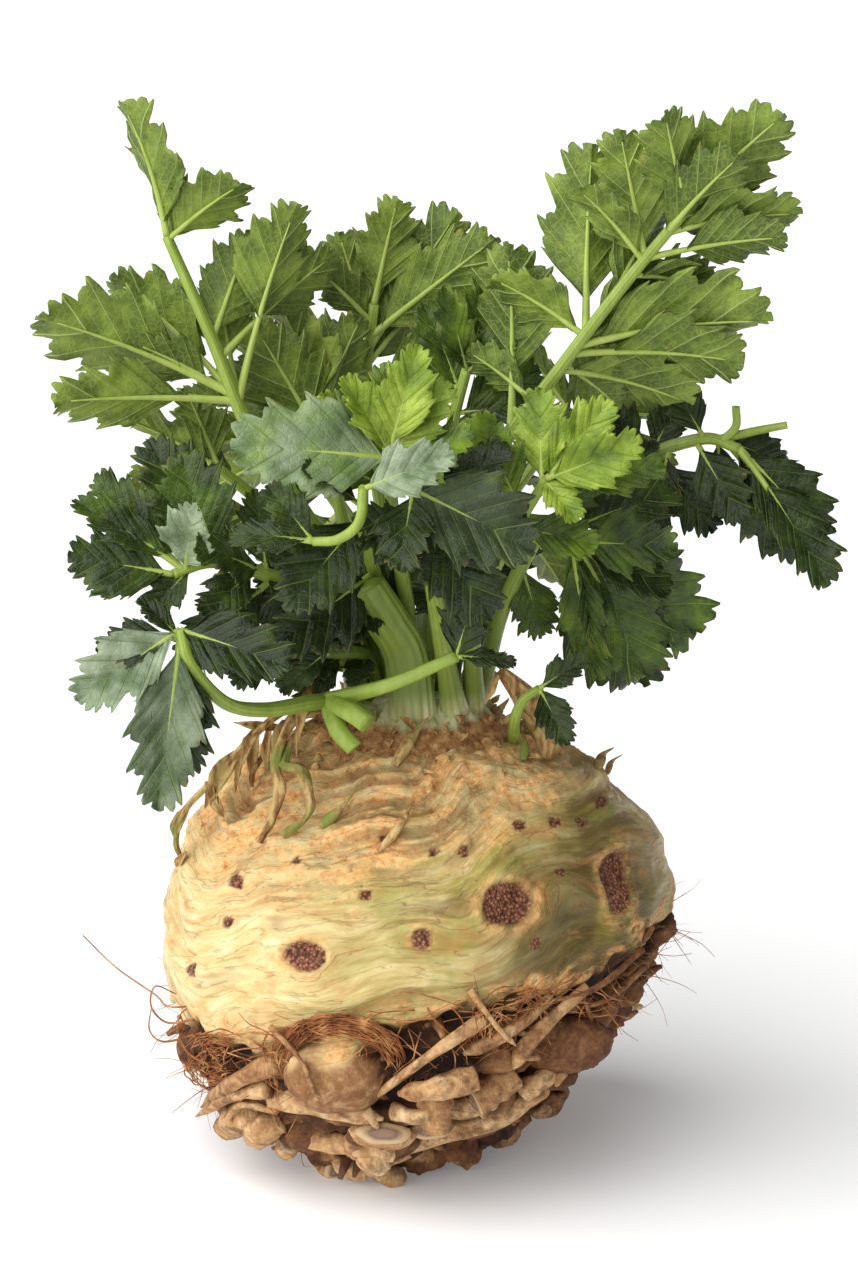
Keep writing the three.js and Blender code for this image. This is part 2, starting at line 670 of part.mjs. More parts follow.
// The same kind of knobs round the back, in rows that climb with the rings
function backKnob(i, count) {
  const turn = Math.PI * (0.06 + (0.88 * (i % 7)) / 6) + 0.2 * (draw(i + 400) - 0.5);
  const drop = -0.5 - 0.34 * Math.floor(i / 7) - 0.12 * draw(i + 420);
  const level = Math.cos(drop);
  const way = new THREE.Vector3(Math.cos(turn) * level, Math.sin(turn) * level, Math.sin(drop));
  const centre = way.clone().multiply(rootHalf).add(rootCentre);
  const size = 6.5 + 3.5 * draw(i + 440) - (2 * i) / count;
  const ball = new THREE.SphereGeometry(1, 6, 5).scale(size * 1.2, size * 0.85, size);
  return solidOf(ball.translate(centre.x, centre.y, centre.z));
}

function sideRoot({ path, lift, thick }) {
  const way = curveThrough(path.map(([right, up]) => onRoot(right, up, lift)));
  const radius = (t) => thick[0] + (thick[1] - thick[0]) * t;
  return tube(way, (t) => [radius(t), radius(t)], 5, 4);
}

function swollenRoot() {
  const backKnobs = 6;
  const solids = [
    rootBody(),
    crown(),
    ...scars.map(scarDisc),
    ...knobs.map(knob),
    ...Array.from({ length: backKnobs }, (_, i) => backKnob(i, backKnobs)),
    ...sideRoots.map(sideRoot),
  ];
  const floor = new THREE.BoxGeometry(300, 300, 60).translate(0, 0, -30);
  return fused(solids).subtract(solidOf(floor));
}

const celeriac = new THREE.Group();
celeriac.add(meshOf("root", swollenRoot(), skinColour, 0.7));
for (const [name, stem] of Object.entries(leafyStems)) {
  celeriac.add(meshOf(`${name}_leaf`, leafyStem(stem), stem.colour, 0.5));
}
celeriac.add(meshOf("low_right_shoot", lowShoot(), darkGreenColour, 0.5));
celeriac.add(meshOf("cut_stalk", cutStalk(), paleGreenColour, 0.5));
celeriac.add(meshOf("dry_stalks_left", dryStalksLeft(), dryColour, 0.8));
celeriac.add(meshOf("dry_stalk_right", dryStalkRight(), dryColour, 0.8));

export default celeriac;
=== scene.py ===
import math

import bpy
import numpy as np
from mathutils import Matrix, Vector


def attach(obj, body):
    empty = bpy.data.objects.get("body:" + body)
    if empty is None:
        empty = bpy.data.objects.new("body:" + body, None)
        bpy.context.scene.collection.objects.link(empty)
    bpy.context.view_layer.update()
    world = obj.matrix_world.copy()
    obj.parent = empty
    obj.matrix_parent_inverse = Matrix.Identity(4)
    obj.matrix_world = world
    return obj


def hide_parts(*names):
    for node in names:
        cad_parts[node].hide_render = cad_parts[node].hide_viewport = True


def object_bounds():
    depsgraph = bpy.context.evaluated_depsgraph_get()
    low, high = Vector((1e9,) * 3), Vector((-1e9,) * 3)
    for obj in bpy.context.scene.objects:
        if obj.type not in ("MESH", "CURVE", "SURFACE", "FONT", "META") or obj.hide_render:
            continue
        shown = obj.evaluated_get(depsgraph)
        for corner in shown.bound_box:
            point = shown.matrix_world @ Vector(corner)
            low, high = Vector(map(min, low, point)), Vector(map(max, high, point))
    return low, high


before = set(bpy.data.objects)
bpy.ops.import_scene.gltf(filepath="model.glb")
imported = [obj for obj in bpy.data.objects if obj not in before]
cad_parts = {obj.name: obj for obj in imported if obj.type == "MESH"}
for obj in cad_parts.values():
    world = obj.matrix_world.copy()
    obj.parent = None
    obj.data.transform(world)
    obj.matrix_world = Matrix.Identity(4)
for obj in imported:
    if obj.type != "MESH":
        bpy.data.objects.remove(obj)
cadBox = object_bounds()
print("frame loaded:", len(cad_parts), "nodes")

mm = 0.001
viewTilt = math.radians(16)  # the photo looks down on the root by this much

camera = {"aim": (2.75, 0, 133.4), "distance": 1600, "lens": 179}
light = {
    "from": (-0.62, -0.5, 0.66), "power": 4.5, "softness": 90, "fill": 0.2,  # softness in degrees
    "floor": (0.93, 0.93, 0.93), "glow": 0.14,
}

rootBody = {
    "width": 131, "depth": 126, "height": 118, "footCut": 3,  # the round body, before its foot is cut flat
    "ringTilt": math.radians(12),  # growth rings lean to the left at the top
    "trimmed": (0.66, -0.25, -0.71), "trimDepth": 9,  # the flatter side, low on the right
    "around": 350, "rows": 275,
    "crownTop": 118,
}
golden = 0.61803  # share of a turn from one repeat to the next


# Small helpers

def draw(seed):
    x = math.sin(seed * 12.9898) * 43758.5453
    return x - math.floor(x)


def seen(place):
    right, up, back = place
    return np.array([right, back, (up - back * math.sin(viewTilt)) / math.cos(viewTilt)])


def unit(v):
    return v / max(1e-9, float(np.linalg.norm(v)))


def smooth(x, low, high):
    t = np.clip((x - low) / (high - low), 0, 1)
    return t * t * (3 - 2 * t)


def turned(v, axis, angle):
    c, s = math.cos(angle), math.sin(angle)
    return v * c + np.cross(axis, v) * s + axis * float(axis @ v) * (1 - c)


# The direction at a turn round the root and a height over its middle, both as angles
def wayTo(turn, height):
    return np.array([math.cos(turn) * math.cos(height), math.sin(turn) * math.cos(height), math.sin(height)])


# The turn of one repeat of many that are spread evenly round the root
def spreadTurn(i):
    return 2 * math.pi * (i * golden % 1)


# Smooth noise over a seeded lattice, from -1 to 1
def noise(p, seed=0):
    cell = np.floor(p).astype(np.int64)
    f = p - cell
    f = f * f * (3 - 2 * f)
    total = 0
    for corner in range(8):
        step = np.array([corner & 1, corner >> 1 & 1, corner >> 2 & 1])
        c = cell + step
        h = (c[:, 0] * 73856093) ^ (c[:, 1] * 19349663) ^ (c[:, 2] * 83492791) ^ (seed * 9781 + 77)
        h = ((h ^ (h >> 13)) * 1274126177) & 0xFFFFFFFF
        value = ((h ^ (h >> 16)) & 0xFFFF) / 32767.5 - 1
        total = total + value * np.prod(np.where(step == 1, f, 1 - f), axis=1)
    return total


def layeredNoise(p, layers=4, seed=0):
    return sum(noise(p * 2 ** k, seed + k) * 0.5 ** k for k in range(layers)) / 1.6


# A curve through places, evenly counted from place to place
def curvePoint(points, t):
    last = len(points) - 1
    k = min(int(t * last), last - 1)
    w = t * last - k
    p1, p2 = points[k], points[k + 1]
    p0 = points[k - 1] if k > 0 else 2 * points[0] - points[1]
    p3 = points[k + 2] if k + 2 <= last else 2 * points[last] - points[last - 1]
    m1, m2 = 0.5 * (p2 - p0), 0.5 * (p3 - p1)
    return ((2 * w ** 3 - 3 * w * w + 1) * p1 + (w ** 3 - 2 * w * w + w) * m1
            + (3 * w * w - 2 * w ** 3) * p2 + (w ** 3 - w * w) * m2)


# Collects closed shapes into one mesh, with numbers on each point for the materials
class Shape:
    fields = ("tone", "under", "veins", "lobes", "reach", "along", "sheen")

    def __init__(self):
        self.points, self.faces, self.slots, self.count = [], [], [], 0
        self.numbers = {f: [] for f in self.fields}

    def grid(self, points, slot=0, closedRound=False, caps=False, flip=False, **numbers):
        rows, cols = points.shape[:2]
        index = np.arange(rows * cols).reshape(rows, cols) + self.count
        nextCol = np.roll(index, -1, axis=1) if closedRound else index[:, 1:]
        here = index if closedRound else index[:, :-1]
        quads = np.stack([here[:-1], nextCol[:-1], nextCol[1:], here[1:]], axis=-1).reshape(-1, 4)
        if flip:
            quads = quads[:, ::-1]
        self.faces += quads.tolist()
        self.slots += [slot] * len(quads)
        if caps:
            for ring, turnBack in ((index[0], True), (index[-1], False)):
                face = ring.tolist()[::-1] if turnBack != flip else ring.tolist()
                self.faces.append(face)
                self.slots.append(slot)
        self.points.append(points.reshape(-1, 3))
        for f in self.fields:
            value = np.broadcast_to(np.asarray(numbers.get(f, 0.0), dtype=float), (rows, cols))
            self.numbers[f].append(value.reshape(-1))
        self.count += rows * cols
        return index

    def wall(self, loopA, loopB, slot=0):
        for i in range(len(loopA)):
            j = (i + 1) % len(loopA)
            self.faces.append([int(loopA[i]), int(loopA[j]), int(loopB[j]), int(loopB[i])])
            self.slots.append(slot)

    # a thin closed sheet between an upper and a lower side
    def sheet(self, top, bottom, slot=0, **numbers):
        a = self.grid(top, slot, flip=True, under=0.0, **numbers)
        b = self.grid(bottom, slot, under=1.0, **numbers)
        loops = [np.concatenate([i[0, :-1], i[:-1, -1], i[-1, :0:-1], i[:0:-1, 0]]) for i in (a, b)]
        self.wall(loops[0], loops[1], slot)

    def finish(self, name, materials):
        mesh = bpy.data.meshes.new(name)
        mesh.from_pydata((np.concatenate(self.points) * mm).tolist(), [], self.faces)
        mesh.polygons.foreach_set("material_index", self.slots)
        mesh.polygons.foreach_set("use_smooth", [True] * len(self.faces))
        for f in self.fields:
            values = np.concatenate(self.numbers[f])
            if np.any(values):
                mesh.attributes.new(f, "FLOAT", "POINT").data.foreach_set("value", values)
        for material in materials:
            mesh.materials.append(material)
        mesh.update()
        piece = bpy.data.objects.new(name, mesh)
        bpy.context.scene.collection.objects.link(piece)
        return piece


# Nothing pokes through the floor, or far out of the part's own box
def keepInside(piece):
    places = np.empty(len(piece.data.vertices) * 3)
    piece.data.vertices.foreach_get("co", places)
    places = places.reshape(-1, 3)
    low, high = np.array(cadBox[0]), np.array(cadBox[1])
    slack = (high - low) * 0.022
    places = np.clip(places, low - slack, high + slack)
    places[:, 2] = np.maximum(places[:, 2], 0.00005)
    piece.data.vertices.foreach_set("co", places.reshape(-1))
    piece.data.update()


# A closed tube along places: radius(t, angles) gives its half width and half thickness
def addTube(shape, points, radius, sides=16, steps=24, wideWay=(1, 0, 0), slot=0, **numbers):
    wide = np.array(wideWay, dtype=float)
    angles = np.arange(sides) * 2 * math.pi / sides
    rings, alongs = [], []
    for i in range(steps + 1):
        t = i / steps
        at = curvePoint(points, t)
        along = unit(curvePoint(points, min(1, t + 0.01)) - curvePoint(points, max(0, t - 0.01)))
        wide = unit(wide - along * float(wide @ along))
        thick = np.cross(wide, along)
        halfWide, halfThick = radius(t, angles)
        across = np.outer(np.cos(angles) * halfWide, wide)
        rings.append(at + across + np.outer(np.sin(angles) * halfThick, thick))
        alongs.append(np.full(sides, t))
    numbers.setdefault("along", np.array(alongs))
    shape.grid(np.array(rings), slot, closedRound=True, caps=True, flip=True, **numbers)


# The radius of a fibre or strand, which thins towards its tip by a share
def thinning(thick, share):
    return lambda t, angles: (thick * (1 - share * t) + 0 * angles,) * 2


# Finishes a piece that rides the root, and says which nodes it stands for
def makePiece(shape, name, lookNames, slot, *nodes):
    piece = shape.finish(name, [looks[look] for look in lookNames])
    if nodes:
        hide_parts(*nodes)
    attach(piece, "root")
    return piece


# Materials

def colour(r, g, b):
    def linear(c):
        c = c / 255
        return c / 12.92 if c <= 0.04045 else ((c + 0.055) / 1.055) ** 2.4

    return (linear(r), linear(g), linear(b), 1)


class Look:
    def __init__(self, name, roughness=0.5, specular=0.5):
        self.material = bpy.data.materials.new(name)
        self.material.use_nodes = True
        self.tree = self.material.node_tree
        self.tree.nodes.clear()
        output = self.tree.nodes.new("ShaderNodeOutputMaterial")
        self.shader = self.tree.nodes.new("ShaderNodeBsdfPrincipled")
        self.shader.inputs["Roughness"].default_value = roughness
        self.shader.inputs["Specular IOR Level"].default_value = specular
        self.tree.links.new(self.shader.outputs[0], output.inputs[0])
        self.place = self.node("ShaderNodeTexCoord").outputs["Object"]

    def node(self, kind, **values):
        made = self.tree.nodes.new(kind)
        for key, value in values.items():
            if hasattr(made, key):
                setattr(made, key, value)
            else:
                self.put(made.inputs[key.replace("_", " ")], value)
        return made

    def put(self, socket, value):
        if isinstance(value, bpy.types.NodeSocket):
            self.tree.links.new(value, socket)
        else:
            socket.default_value = value

    def number(self, name):
        return self.node("ShaderNodeAttribute", attribute_name=name).outputs["Fac"]

    def math(self, operation, a, b=0.0, c=0.0):
        made = self.node("ShaderNodeMath", operation=operation)
        for socket, value in zip(made.inputs, (a, b, c)):
            self.put(socket, value)
        return made.outputs[0]

    def times(self, a, b):
        return self.math("MULTIPLY", a, b)

    def plus(self, a, b):
        return self.math("ADD", a, b)

    def minus(self, a, b):
        return self.math("SUBTRACT", a, b)

    def scaled(self, value, gain, offset):
        return self.math("MULTIPLY_ADD", value, gain, offset)

    def range(self, value, low, high, first=0.0, last=1.0):
        made = self.node("ShaderNodeMapRange", interpolation_type="SMOOTHSTEP")
        for socket, v in zip(made.inputs, (value, low, high, first, last)):
            self.put(socket, v)
        return made.outputs[0]

    def stretched(self, scale):
        return self.node("ShaderNodeMapping", Vector=self.place, Scale=scale).outputs[0]

    def noise(self, size, detail=4.0, roughness=0.55, place=None, distortion=0.0):
        made = self.node("ShaderNodeTexNoise", Detail=detail, Roughness=roughness, Distortion=distortion)
        self.put(made.inputs["Vector"], place or self.place)
        made.inputs["Scale"].default_value = 1 / (size * mm)
        return made.outputs["Fac"]

    def cells(self, size, feature="F1", place=None):
        made = self.node("ShaderNodeTexVoronoi", feature=feature)
        self.put(made.inputs["Vector"], place or self.place)
        made.inputs["Scale"].default_value = 1 / (size * mm)
        return made.outputs["Distance"]

    def mix(self, share, a, b, way="MIX"):
        made = self.node("ShaderNodeMix", data_type="RGBA", blend_type=way)
        self.put(made.inputs[0], share)
        self.put(made.inputs[6], colour(*a) if isinstance(a, tuple) else a)
        self.put(made.inputs[7], colour(*b) if isinstance(b, tuple) else b)
        return made.outputs[2]

    def ramp(self, value, *stops):
        made = self.node("ShaderNodeValToRGB")
        elements = made.color_ramp.elements
        while len(elements) < len(stops):
            elements.new(0.5)
        for element, (position, tint) in zip(elements, stops):
            element.position, element.color = position, colour(*tint)
        self.put(made.inputs[0], value)
        return made.outputs[0]

    def bump(self, height, strength, distance, before=None):
        made = self.node("ShaderNodeBump", Strength=strength, Distance=distance * mm)
        self.put(made.inputs["Height"], height)
        if before is not None:
            self.put(made.inputs["Normal"], before)
        return made.outputs[0]

    def wear(self, **sockets):
        for name, value in sockets.items():
            self.put(self.shader.inputs[name.replace("_", " ")], value)
        return self.material


def leafMaterial():
    look = Look("leaflet blade", specular=0.3)
    tone, under, reach = look.number("tone"), look.number("under"), look.number("reach")
    phase = look.math("FRACT", look.number("veins"))
    off = look.math("ABSOLUTE", look.minus(phase, 0.5))
    fineLines = look.range(off, 0.0, 0.09, 1.0, 0.0)
    mainLines = look.range(look.number("lobes"), 0.01, 0.07, 1.0, 0.0)
    net = look.range(look.cells(1.9, "DISTANCE_TO_EDGE"), 0.0, 0.12, 1.0, 0.0)
    patch = look.scaled(look.minus(look.noise(8, 4), 0.5), 1.1, tone)
    upper = look.ramp(patch, (0.0, (20, 32, 10)), (0.25, (38, 54, 16)), (0.5, (68, 92, 24)),
                      (0.75, (116, 142, 36)), (1.0, (168, 188, 74)))
    # painted sheen: leaflets marked with sheen get a pale, mottled grey-green on the upper side where light
    # glances off them
    upper = look.mix(look.times(look.number("sheen"), 0.7), upper,
                     look.mix(look.range(look.noise(9, 3), 0.3, 0.7), (98, 120, 82), (186, 202, 168)))
    lower = look.ramp(patch, (0.0, (54, 70, 28)), (0.4, (84, 104, 34)), (0.65, (126, 146, 54)),
                      (1.0, (170, 188, 88)))
    face = look.mix(under, upper, lower)
    netShare = look.times(net, look.scaled(under, 0.2, 0.03))
    face = look.mix(netShare, face, (158, 178, 88))
    face = look.mix(look.times(fineLines, look.scaled(under, 0.12, 0.07)), face, (150, 170, 84))
    face = look.mix(look.times(mainLines, look.scaled(under, 0.3, 0.32)), face,
                    look.mix(under, (150, 170, 90), (188, 202, 118)))
    edge = look.times(look.range(reach, 0.86, 1.0), look.range(look.noise(5, 2), 0.55, 0.7))
    face = look.mix(look.times(edge, 0.5), face, (132, 112, 50))
    grooves = look.plus(look.times(fineLines, 0.25), look.times(net, 0.2))
    grooves = look.times(look.plus(grooves, mainLines), look.scaled(under, 1.8, -0.9))
    normal = look.bump(grooves, 0.65, 0.6)
    normal = look.bump(look.noise(3.2, 4), 0.5, 1.0, normal)
    rough = look.scaled(under, 0.14, look.scaled(look.noise(4, 2), 0.22, 0.26))
    return look.wear(Base_Color=face, Roughness=rough, Normal=normal)


def stemMaterial():
    look = Look("leaf stalk", specular=0.45)
    along, tone = look.number("along"), look.number("tone")
    streaks = look.noise(2.2, 4, place=look.stretched((1, 1, 0.08)))
    value = look.plus(tone, look.times(look.minus(streaks, 0.5), 0.5))
    green = look.ramp(value, (0.0, (84, 104, 32)), (0.5, (140, 162, 62)), (1.0, (194, 208, 112)))
    # painted shade: the lower part of each stalk, under the leaves, turns a darker green
    green = look.mix(look.range(along, 0.1, 0.42, 0.55, 0.0), green, (86, 102, 34))
    pale = look.mix(look.range(streaks, 0.35, 0.7), (178, 182, 118), (216, 210, 166))
    face = look.mix(look.range(along, 0.01, 0.1, 1.0, 0.0), green, pale)
    ribs = look.math("SINE", look.times(look.number("veins"), 2 * math.pi))
    face = look.mix(look.times(look.range(ribs, -1.0, 0.3, 1.0, 0.0), 0.3), face, (84, 104, 44))
    normal = look.bump(look.noise(1.2, 4, place=look.stretched((1, 1, 0.1))), 0.3, 0.25)
    return look.wear(Base_Color=face, Roughness=0.46, Normal=normal)


def dryMaterial():
    look = Look("withered stalk", roughness=0.75, specular=0.3)
    grain = look.noise(1.6, 5, place=look.stretched((1, 1, 0.25)))
    face = look.ramp(grain, (0.25, (92, 60, 38)), (0.42, (152, 112, 66)), (0.58, (200, 170, 112)),
                     (0.78, (174, 166, 92)))
    green = look.range(look.noise(12, 2), 0.45, 0.65)
    face = look.mix(look.times(green, look.number("tone")), face, (126, 138, 62))
    normal = look.bump(grain, 0.6, 0.5)
    return look.wear(Base_Color=face, Normal=normal)


def skinMaterial():
    look = Look("root skin", specular=0.35)
    low, scar, green = look.number("low"), look.number("scar"), look.number("green")
    scurf, creaseShade, deepShade = look.number("scurf"), look.number("creaseShade"), look.number("deepShade")
    lift = look.node("ShaderNodeCombineXYZ", Z=look.number("rings")).outputs[0]

    def alongRings(stretch):  # places for noise that runs in streaks along the growth rings
        flat = look.stretched((stretch, stretch, 0))
        made = look.node("ShaderNodeVectorMath", operation="ADD")
        look.put(made.inputs[0], flat)
        look.put(made.inputs[1], lift)
        return made.outputs[0]

    streaks = look.noise(2.4, 6, 0.62, place=alongRings(0.2), distortion=0.35)
    bands = look.noise(7.5, 5, 0.6, place=alongRings(0.26), distortion=0.5)
    blotch = look.noise(22, 4, 0.6)
    cream = look.ramp(streaks, (0.25, (186, 150, 94)), (0.42, (214, 186, 126)), (0.56, (226, 204, 148)),
                      (0.74, (238, 224, 180)))
    shade = look.number("shade")  # painted shade: the right side of the root, turned from the light, is darkened to deep olive; partly its real olive colour
    olive = look.ramp(streaks, (0.25, (118, 102, 42)), (0.44, (150, 136, 62)), (0.58, (174, 162, 86)),
                      (0.76, (208, 196, 130)))
    shadedOlive = look.ramp(streaks, (0.25, (52, 42, 10)), (0.5, (78, 66, 18)), (0.76, (112, 98, 36)))
    olive = look.mix(shade, olive, shadedOlive)
    greenShare = look.times(green, look.range(bands, 0.34, 0.56, 1.0, 0.42))
    face = look.mix(greenShare, cream, olive)
    # painted shade: most of the shaded side is pulled further towards the shaded olive
    face = look.mix(look.times(shade, 0.9), face, shadedOlive)
    limeShare = look.times(look.times(green, look.range(blotch, 0.5, 0.64)), 0.55)
    face = look.mix(limeShare, face, (128, 136, 46))
    tan = look.range(look.noise(6, 6, 0.7, place=alongRings(0.4), distortion=0.8), 0.5, 0.66)
    face = look.mix(look.times(tan, 0.5), face, (190, 134, 76))
    peel = look.range(look.noise(4.2, 7, 0.74, place=alongRings(0.5)), 0.42, 0.56)
    rust = look.ramp(look.noise(1.8, 5, 0.7), (0.3, (172, 110, 62)), (0.48, (242, 178, 108)),
                     (0.68, (255, 220, 160)))
    face = look.mix(look.times(scurf, look.times(peel, 0.95)), face, rust)
    wrinkle = look.math("ABSOLUTE", look.minus(look.noise(3.6, 4, 0.5, place=alongRings(0.16)), 0.5))
    wrinkle = look.range(wrinkle, 0.0, 0.02, 1.0, 0.0)
    face = look.mix(look.times(wrinkle, 0.4), face, (124, 88, 46))
    # painted shade darkens the creases
    face = look.mix(look.times(creaseShade, 0.8), face, (112, 78, 38))
    specks = look.range(look.cells(2.6), 0.0, 0.2, 1.0, 0.0)
    specks = look.times(specks, look.range(look.noise(9, 2), 0.5, 0.64))
    face = look.mix(look.times(specks, 0.7), face, (104, 62, 36))
    soil = look.noise(2.2, 7, 0.72)
    broad = look.noise(8, 5, 0.62, distortion=0.8)
    soilTone = look.scaled(broad, 0.6, look.scaled(soil, 0.4, -0.17))
    soilTone = look.scaled(look.number("tone"), 0.27, soilTone)
    mass = look.ramp(soilTone, (0.28, (48, 27, 15)), (0.44, (96, 58, 34)), (0.6, (146, 102, 62)),
                     (0.78, (212, 176, 128)))
    # painted shade, near black, in the hollows between the lumps
    mass = look.mix(deepShade, mass, (38, 21, 13))
    face = look.mix(low, face, mass)
    cork = look.ramp(look.cells(0.95), (0.0, (220, 164, 122)), (0.3, (150, 94, 64)), (0.75, (78, 42, 30)))
    face = look.mix(scar, face, cork)
    normal = look.bump(streaks, look.scaled(low, -0.4, 0.6), 1.1)
    normal = look.bump(wrinkle, look.scaled(low, -0.35, 0.35), -0.5, normal)
    normal = look.bump(soil, look.scaled(look.math("MAXIMUM", low, scurf), 0.6, 0.06), 1.6, normal)
    normal = look.bump(look.cells(0.95), look.times(scar, 0.9), -0.9, normal)
    rough = look.scaled(look.math("MAXIMUM", low, scurf), 0.3, look.range(streaks, 0.3, 0.7, 0.52, 0.38))
    return look.wear(Base_Color=face, Roughness=rough, Normal=normal)


def sideRootMaterial():
    look = Look("side root", roughness=0.68, specular=0.3)
    along, tone, cut = look.number("along"), look.number("tone"), look.number("reach")
    grain = look.noise(2.4, 6, 0.68)
    value = look.scaled(look.noise(6, 5, 0.6, distortion=0.6), 0.6, look.times(grain, 0.4))
    value = look.plus(value, look.scaled(tone, 0.34, -0.17))
    face = look.ramp(value, (0.3, (80, 46, 26)), (0.44, (138, 94, 58)), (0.58, (188, 146, 98)),
                     (0.8, (238, 210, 164)))
    broad = look.noise(7, 4, 0.6, distortion=1.0)
    rings = look.math("SINE", look.scaled(along, 44.0, look.times(broad, 34.0)))
    ringed = look.times(look.range(rings, 0.2, 1.0), look.range(look.noise(9, 2), 0.42, 0.62))
    face = look.mix(look.times(ringed, 0.4), face, (122, 82, 50))
    soil = look.range(look.noise(5, 5, 0.7), 0.5, 0.64)
    face = look.mix(look.times(soil, 0.6), face, (82, 50, 30))
    heart = look.ramp(cut, (0.0, (216, 188, 146)), (0.5, (206, 176, 136)), (0.8, (128, 100, 84)),
                      (1.0, (150, 122, 104)))
    face = look.mix(look.range(cut, 0.2, 0.4), face, heart)
    normal = look.bump(grain, 0.6, 1.0)
    normal = look.bump(look.times(ringed, -1.0), 0.3, 0.5, normal)
    return look.wear(Base_Color=face, Normal=normal)


def crownMaterial():
    look = Look("crown", roughness=0.6, specular=0.35)
    grain = look.noise(2.0, 7, 0.72)
    rust = look.ramp(grain, (0.3, (92, 56, 32)), (0.45, (150, 102, 58)), (0.6, (196, 150, 96)),
                     (0.75, (226, 200, 152)))
    streaks = look.noise(2.0, 4, place=look.stretched((1, 1, 0.12)))
    pale = look.ramp(streaks, (0.3, (150, 158, 92)), (0.5, (196, 196, 146)), (0.7, (222, 216, 178)))
    face = look.mix(look.number("under"), rust, pale)
    normal = look.bump(grain, 0.7, 1.4)
    return look.wear(Base_Color=face, Normal=normal)


def fibreMaterial():
    look = Look("root fibre", roughness=0.8, specular=0.25)
    face = look.ramp(look.noise(5, 3), (0.3, (108, 62, 34)), (0.5, (158, 100, 58)),
                     (0.7, (204, 154, 98)))
    return look.wear(Base_Color=face)


looks = {
    "leaf": leafMaterial(), "stem": stemMaterial(), "dry": dryMaterial(), "skin": skinMaterial(),
    "sideRoot": sideRootMaterial(), "fibre": fibreMaterial(), "crown": crownMaterial(),
}
print("materials made:", len(looks))


# The swollen root: rings, lumps and creases over a round body, and a rough mass of roots below

rootHalf = np.array([rootBody["width"], rootBody["depth"], rootBody["height"]]) / 2
rootCentre = np.array([0, 0, rootBody["height"] / 2 - rootBody["footCut"]])


def ringPlace(way):
    tilt = rootBody["ringTilt"]
    level = way[:, 2] * math.cos(tilt) - way[:, 0] * math.sin(tilt)
    side = way[:, 0] * math.cos(tilt) + way[:, 2] * math.sin(tilt)
    return np.arctan2(way[:, 1], side), np.arcsin(np.clip(level, -1, 1))


# How much lower the skin lies on the root's flatter side; under the root it keeps its full height
def trimAt(way):
    trim = smooth(way @ unit(np.array(rootBody["trimmed"])), 0.45, 0.95)
    return rootBody["trimDepth"] * trim * (1 - smooth(-way[..., 2], 0.84, 0.95))


# How far the skin stands proud of the plain body, in mm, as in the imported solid
def relief(way):
    turn, height = ringPlace(way)
    sway = 0.13 * np.sin(2 * turn + 0.6) + 0.09 * np.sin(5 * turn + 2.1) + 0.05 * np.sin(9 * turn)
    rings = np.sin(19 * (height + sway)) * smooth(height, -0.05, 0.25)
    lumps = np.sin(3 * turn + 1.3) * np.cos(2.4 * height) + 0.6 * np.sin(7 * turn + 5 * height)
    rough = np.sin(13 * turn + 4 * height) * np.sin(14 * height + 3 * turn)
    low = 1 - smooth(height, -0.14, 0.06)
    standing = smooth(-way[:, 2], 0.84, 0.95)
    return 1.1 * rings + 0.9 * lumps + 2 * (1 - standing) * low * rough - trimAt(way), sway, low


# The place on the root's front that is seen at right and up, lifted off its skin
def onRoot(right, up, lift=0.0):
    half = rootHalf + lift
    slope = math.tan(viewTilt)
    level = up / math.cos(viewTilt) - rootCentre[2]
    a = 1 / half[1] ** 2 + slope ** 2 / half[2] ** 2
    b = -2 * slope * level / half[2] ** 2
    c = (right / half[0]) ** 2 + (level / half[2]) ** 2 - 1
    back = (-b - math.sqrt(max(0, b * b - 4 * a * c))) / (2 * a)
    at = np.array([right, back, level - slope * back])
    way = unit(at / half)
    proud = float(relief(way[None, :])[0][0])
    return rootCentre + at + unit(at) * proud * 0.9


scars = [
    {"at": (22, 64.5), "size": (6.8, 5.6)},
    {"at": (49.5, 69), "size": (3.9, 8.3)},
    {"at": (-27.5, 51.5), "size": (5.4, 4.2)},
    {"at": (1, 56), "size": (2.8, 2.8)},
    {"at": (-12.5, 66.5), "size": (1.8, 1.6)},
    {"at": (-44.5, 69.5), "size": (2.0, 2.2)},
    {"at": (-47.5, 59.3), "size": (1.8, 1.7)},
    {"at": (-55.7, 47), "size": (1.5, 1.7)},
    {"at": (-29.5, 74.5), "size": (1.3, 1.1)},
    {"at": (3.8, 77), "size": (1.4, 1.2)},
    {"at": (11.5, 77.5), "size": (1.5, 1.4)},
    {"at": (24.8, 83.3), "size": (1.7, 1.6)},
    {"at": (33.5, 83.8), "size": (1.6, 1.4)},
    {"at": (40.6, 84), "size": (1.6, 1.4)},
    {"at": (46.2, 89), "size": (1.7, 1.5)},
    {"at": (29.2, 54.5), "size": (1.6, 1.6)},
    {"at": (35.4, 72), "size": (1.3, 1.2)},
    {"at": (-8.3, 80), "size": (1.2, 1.1)},
]


def backScars():
    spots = []
    for i in range(26):  # the same kind of marks on the sides and the back, which the photo doesn't show
        turn = 0.05 * math.pi + math.pi * 0.9 * draw(i + 500)
        way = wayTo(turn, 0.1 + 0.75 * draw(i + 530))
        size = 1.2 + (4.2 * draw(i + 560) if i % 6 == 0 else 0.8 * draw(i + 560))
        spots.append((unit(way), size * 1.15, size))
    return spots


